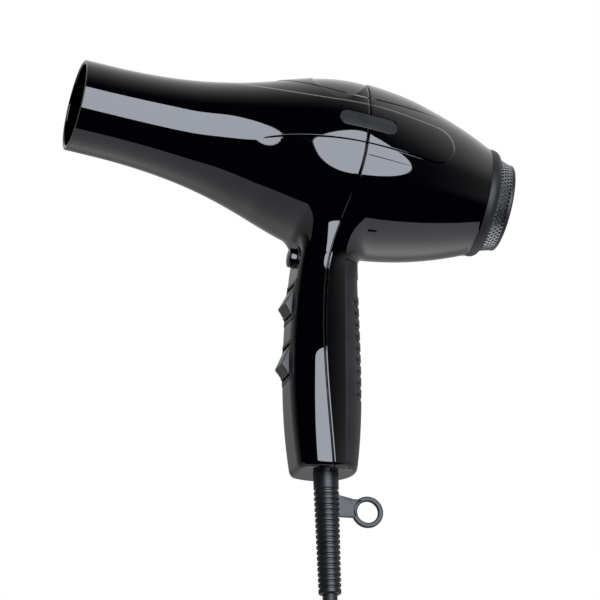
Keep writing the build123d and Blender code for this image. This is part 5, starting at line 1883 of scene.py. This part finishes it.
@dataclass
class Plug:
    """Moulded two-pin plug with a ribbed tail."""

    foot: tuple[float, float, float] = (66.9, 0.0, -237.0)
    tail: float = 32.0
    tail_radius: float = 4.8
    rib: tuple[float, float] = (0.5, 3.2)
    length: float = 34.0
    block: tuple[float, float, float] = (24.0, 16.0, 5.0)
    nose: float = 3.0
    top_round: float = 0.8
    blades: tuple[float, float, float, float] = (12.7, 6.3, 1.5, 17.0)
    blade_tip: tuple[tuple[float, float], ...] = ((0.0, 0.0), (0.7, 0.25), (1.0, 0.5))

    def level(self, ring: Array, height: float, aside: float = 0.0) -> Array:
        """A flat outline laid level at a height above the foot, moved aside along X."""
        x, y, z = self.foot
        rise = np.full(len(ring), z + height)
        return np.column_stack([x + aside + ring[:, 0], y + ring[:, 1], rise])

    def body(self, palette: Palette) -> bpy.types.Object:
        """Make the moulded body: a ribbed round tail and a rounded block."""
        skin = Skin("plug_moulding")
        rise = np.arange(0, self.tail + 2, 0.25)
        depth, pitch = self.rib
        ribbed = (rise < self.tail - 5) * (rise > 2)
        rib = depth * ease((0.7 - np.abs(np.mod(rise, pitch) - pitch / 2)) / 0.4) * ribbed
        turn = np.radians(np.arange(0, 360, 10))
        way = np.stack([np.cos(turn), np.sin(turn)], axis=1)
        skin.loft([self.level((self.tail_radius - r) * way, h) for r, h in zip(rib, rise)])
        nose, soft = self.nose, self.top_round
        start = arc(self.tail + nose, nose, -nose, 0, 1, 8)
        end = arc(self.tail + self.length - soft, soft, (soft, -soft), 1, 0, 5)
        steps = np.vstack([start, end])
        skin.loft([self.level(shrunk(self.block, inset, 7, 2), height) for height, inset in steps])
        return palette.seat(skin.piece(crease=50), "housing", "cord_rubber", "plug_body")

    def pins(self, palette: Palette) -> bpy.types.Object:
        """Make the two flat blades with narrowed tips."""
        gap, wide, thick, long = self.blades
        start = self.tail + self.length - 1
        steps = [(start, 0.0), *((start + long + past, inset) for past, inset in self.blade_tip)]
        skin = Skin("plug_blades")
        for side in (-1, 1):
            rings = []
            for height, inset in steps:
                ring = ring_outline(thick - 2 * inset, wide - 2 * inset, 0.2, 3)
                rings.append(self.level(ring, height, side * gap / 2))
            skin.loft(rings)
        return palette.seat(skin.piece(), "housing", "brass", "plug_pins")


# ---- studio -----------------------------------------------------------------------------------


def facing(azimuth: float, elevation: float) -> Vector:
    """Direction at an azimuth and elevation in degrees: 0 is -Y, growing towards +X, and up."""
    a, e = math.radians(azimuth), math.radians(elevation)
    return Vector((math.sin(a) * math.cos(e), -math.cos(a) * math.cos(e), math.sin(e)))


def look(piece: bpy.types.Object, target: Sequence[float], way: Vector, distance: float) -> None:
    """Stand a camera or lamp off a target along a direction, turned to look at it."""
    link(piece)
    piece.location = Vector(target) + way * distance
    piece.rotation_euler = (-way).to_track_quat("-Z", "Y").to_euler()


@dataclass(frozen=True)
class RoundLamp:
    """Round soft lamp that looks at a point, given by its direction from there.

    Spread is the angle from the lamp's middle to its edge as that point sees it.
    """

    name: str
    azimuth: float
    elevation: float
    spread: float
    level: float
    colour: tuple[float, float, float]
    distance: float = 4.0
    aim: tuple[float, float, float] = (0.0, 0.0, 0.08)

    def build(self) -> None:
        """Make the lamp; its power is level x pi x area, so that its face shines at that level."""
        radius = self.distance * math.tan(math.radians(self.spread))
        lamp = bpy.data.lights.new(self.name, "AREA")
        lamp.shape = "DISK"
        lamp.size = 2 * radius
        lamp.energy = self.level * math.pi * math.pi * radius**2
        lamp.color = self.colour
        piece = bpy.data.objects.new(self.name, lamp)
        look(piece, self.aim, facing(self.azimuth, self.elevation), self.distance)
        piece.visible_camera = False


@dataclass
class Studio:
    """Camera, pale table, surround and lamps."""

    azimuth: float = -14.0
    elevation: float = -15.0
    distance: float = 3.0
    target: tuple[float, float, float] = (-0.0108, 0.0, 0.0415)
    width: float = 0.306
    sensor: float = 36.0
    clip: tuple[float, float] = (0.1, 50.0)
    table_z: float = -1.25
    table: tuple[float, float, float] = (5.0, -0.34, 7.0)
    # The table's colour runs from painted shade near the front and -X to painted light behind and
    # at +X.
    table_painted_light_fade: tuple[float, float] = (-0.9, 0.9)
    table_painted_light_aside: float = 0.25
    table_painted_shade_near: tuple[float, float, float] = (0.62, 0.62, 0.62)
    table_painted_light_far: tuple[float, float, float] = (0.92, 0.92, 0.92)
    table_glow: tuple[float, float, float] = (0.6, 0.6, 0.6)
    room: float = 0.3
    backdrop: tuple[float, float, float] = (-0.65, 0.95, 0.6)
    horizon: tuple[float, float] = (-0.35, -0.12)
    low_wall: float = 0.35
    wall_fade: tuple[float, float] = (0.2, 0.6)
    lamps: tuple[RoundLamp, ...] = (
        RoundLamp("key_lamp", 5.0, 6.0, 27.0, 5.2, (0.93, 0.98, 1.1)),
        RoundLamp("table_lamp", 0.0, 90.0, 30.0, 3.6, (1.0, 1.0, 1.0), 1.05, (0.6, 1.3, -1.25)),
    )

    def camera(self) -> None:
        """Make the camera: a long lens, level across, looking slightly up at the dryer."""
        lens = bpy.data.cameras.new("photo_camera")
        lens.sensor_width = self.sensor
        lens.lens = self.sensor * self.distance / self.width
        lens.clip_start, lens.clip_end = self.clip
        piece = bpy.data.objects.new("photo_camera", lens)
        look(piece, self.target, facing(self.azimuth, self.elevation), self.distance)
        bpy.context.scene.camera = piece

    def floor(self) -> None:
        """Make the pale table top that stands under and behind the dryer, its colour darker towards
        -X and the front as painted shade and paler towards +X and the back as painted light, for
        the gloss to reflect.
        """
        half, front, back = self.table
        mesh = bpy.data.meshes.new("studio_table")
        corners = [(-half, front), (half, front), (half, back), (-half, back)]
        mesh.from_pydata([(x, y, self.table_z) for x, y in corners], [], [(0, 1, 2, 3)])
        piece = link(bpy.data.objects.new("studio_table", mesh))
        board = Board.material("table_pale_painted_light")
        x, y = board.parts(board.place(), "XY")
        # Painted light and shade: the base colour grows paler along X, helped by Y, in place of
        # light that falls unevenly on the table.
        painted_light_share = (x + y * self.table_painted_light_aside).eased(*self.table_painted_light_fade)
        camera = board.node("ShaderNodeLightPath", {}, {}, "Is Camera Ray")
        finish = board.surface(
            Base_Color=board.blend(painted_light_share, self.table_painted_shade_near, self.table_painted_light_far),
            Roughness=0.75 + board.noise(400.0, 2.0) * 0.1,
            Emission_Color=board.blend(camera, (0.0, 0.0, 0.0), self.table_glow),
            Emission_Strength=1.0,
        )
        mesh.materials.append(finish)

    def surround(self) -> None:
        """Make the surround: white to the camera, and to gloss white behind and dark in front.

        What gloss sees is 1 behind the dryer and falls by a smooth step of the direction's Y,
        helped by its X, to 0 ahead of it. It is dimmer near the level, and dark below, where the
        table stands. Matt surfaces are lit by an even dim room.
        """
        world = bpy.data.worlds.new("studio_surround")
        bpy.context.scene.world = world
        board = Board(world)
        camera, glossy, clear, matt = (
            board.node("ShaderNodeLightPath", {}, {}, f"Is {ray} Ray")
            for ray in ("Camera", "Glossy", "Transmission", "Diffuse")
        )
        x, y, z = board.parts(board.node("ShaderNodeTexCoord", {}, {}, "Generated"), "XYZ")
        start, end, aside = self.backdrop
        white = (y + x * aside).eased(start, end) * z.eased(*self.horizon)
        white = white * (self.low_wall + z.size().eased(*self.wall_fade) * (1 - self.low_wall))
        seen = (glossy + clear) * white
        shine = board.tree.nodes["Background"]
        board.feed(shine.inputs["Color"], (1.0, 1.0, 1.0, 1.0))
        board.feed(shine.inputs["Strength"], camera + seen + matt * self.room)

    def build(self) -> None:
        """Make the table, the surround and the lamps."""
        self.floor()
        self.surround()
        for lamp in self.lamps:
            lamp.build()
        bpy.context.scene.view_settings.view_transform = "Standard"


# ---- whole dryer ------------------------------------------------------------------------------


def finish_inner(palette: Palette) -> None:
    """Give every CAD node its slot's finish."""
    slots = {part["node"]: part["material_slot"] for part in frame["record"]["subparts"]}
    for name, node in frame["nodes"].items():
        palette.coat(node, slots[name])


def main() -> None:
    """Build the dryer and its studio."""
    logging.basicConfig(level=logging.INFO, format="%(message)s")
    studio = Studio()
    studio.camera()
    palette = Palette()
    plug = Plug()
    extras = [plug.body(palette), plug.pins(palette), CoilTie().build(palette)]
    Lead().build(palette, extras)
    finish_inner(palette)
    switches = RockerSwitch("speed", 39.5), RockerSwitch("heat", 8.0)
    for part in (Casing(), Badges(), GripStrip(), *switches, CoolShot(), RearFilter(), CordGuard()):
        part.build(palette)
        LOG.info("built %s", type(part).__name__)
    studio.build()


if __name__ == "__main__":
    main()
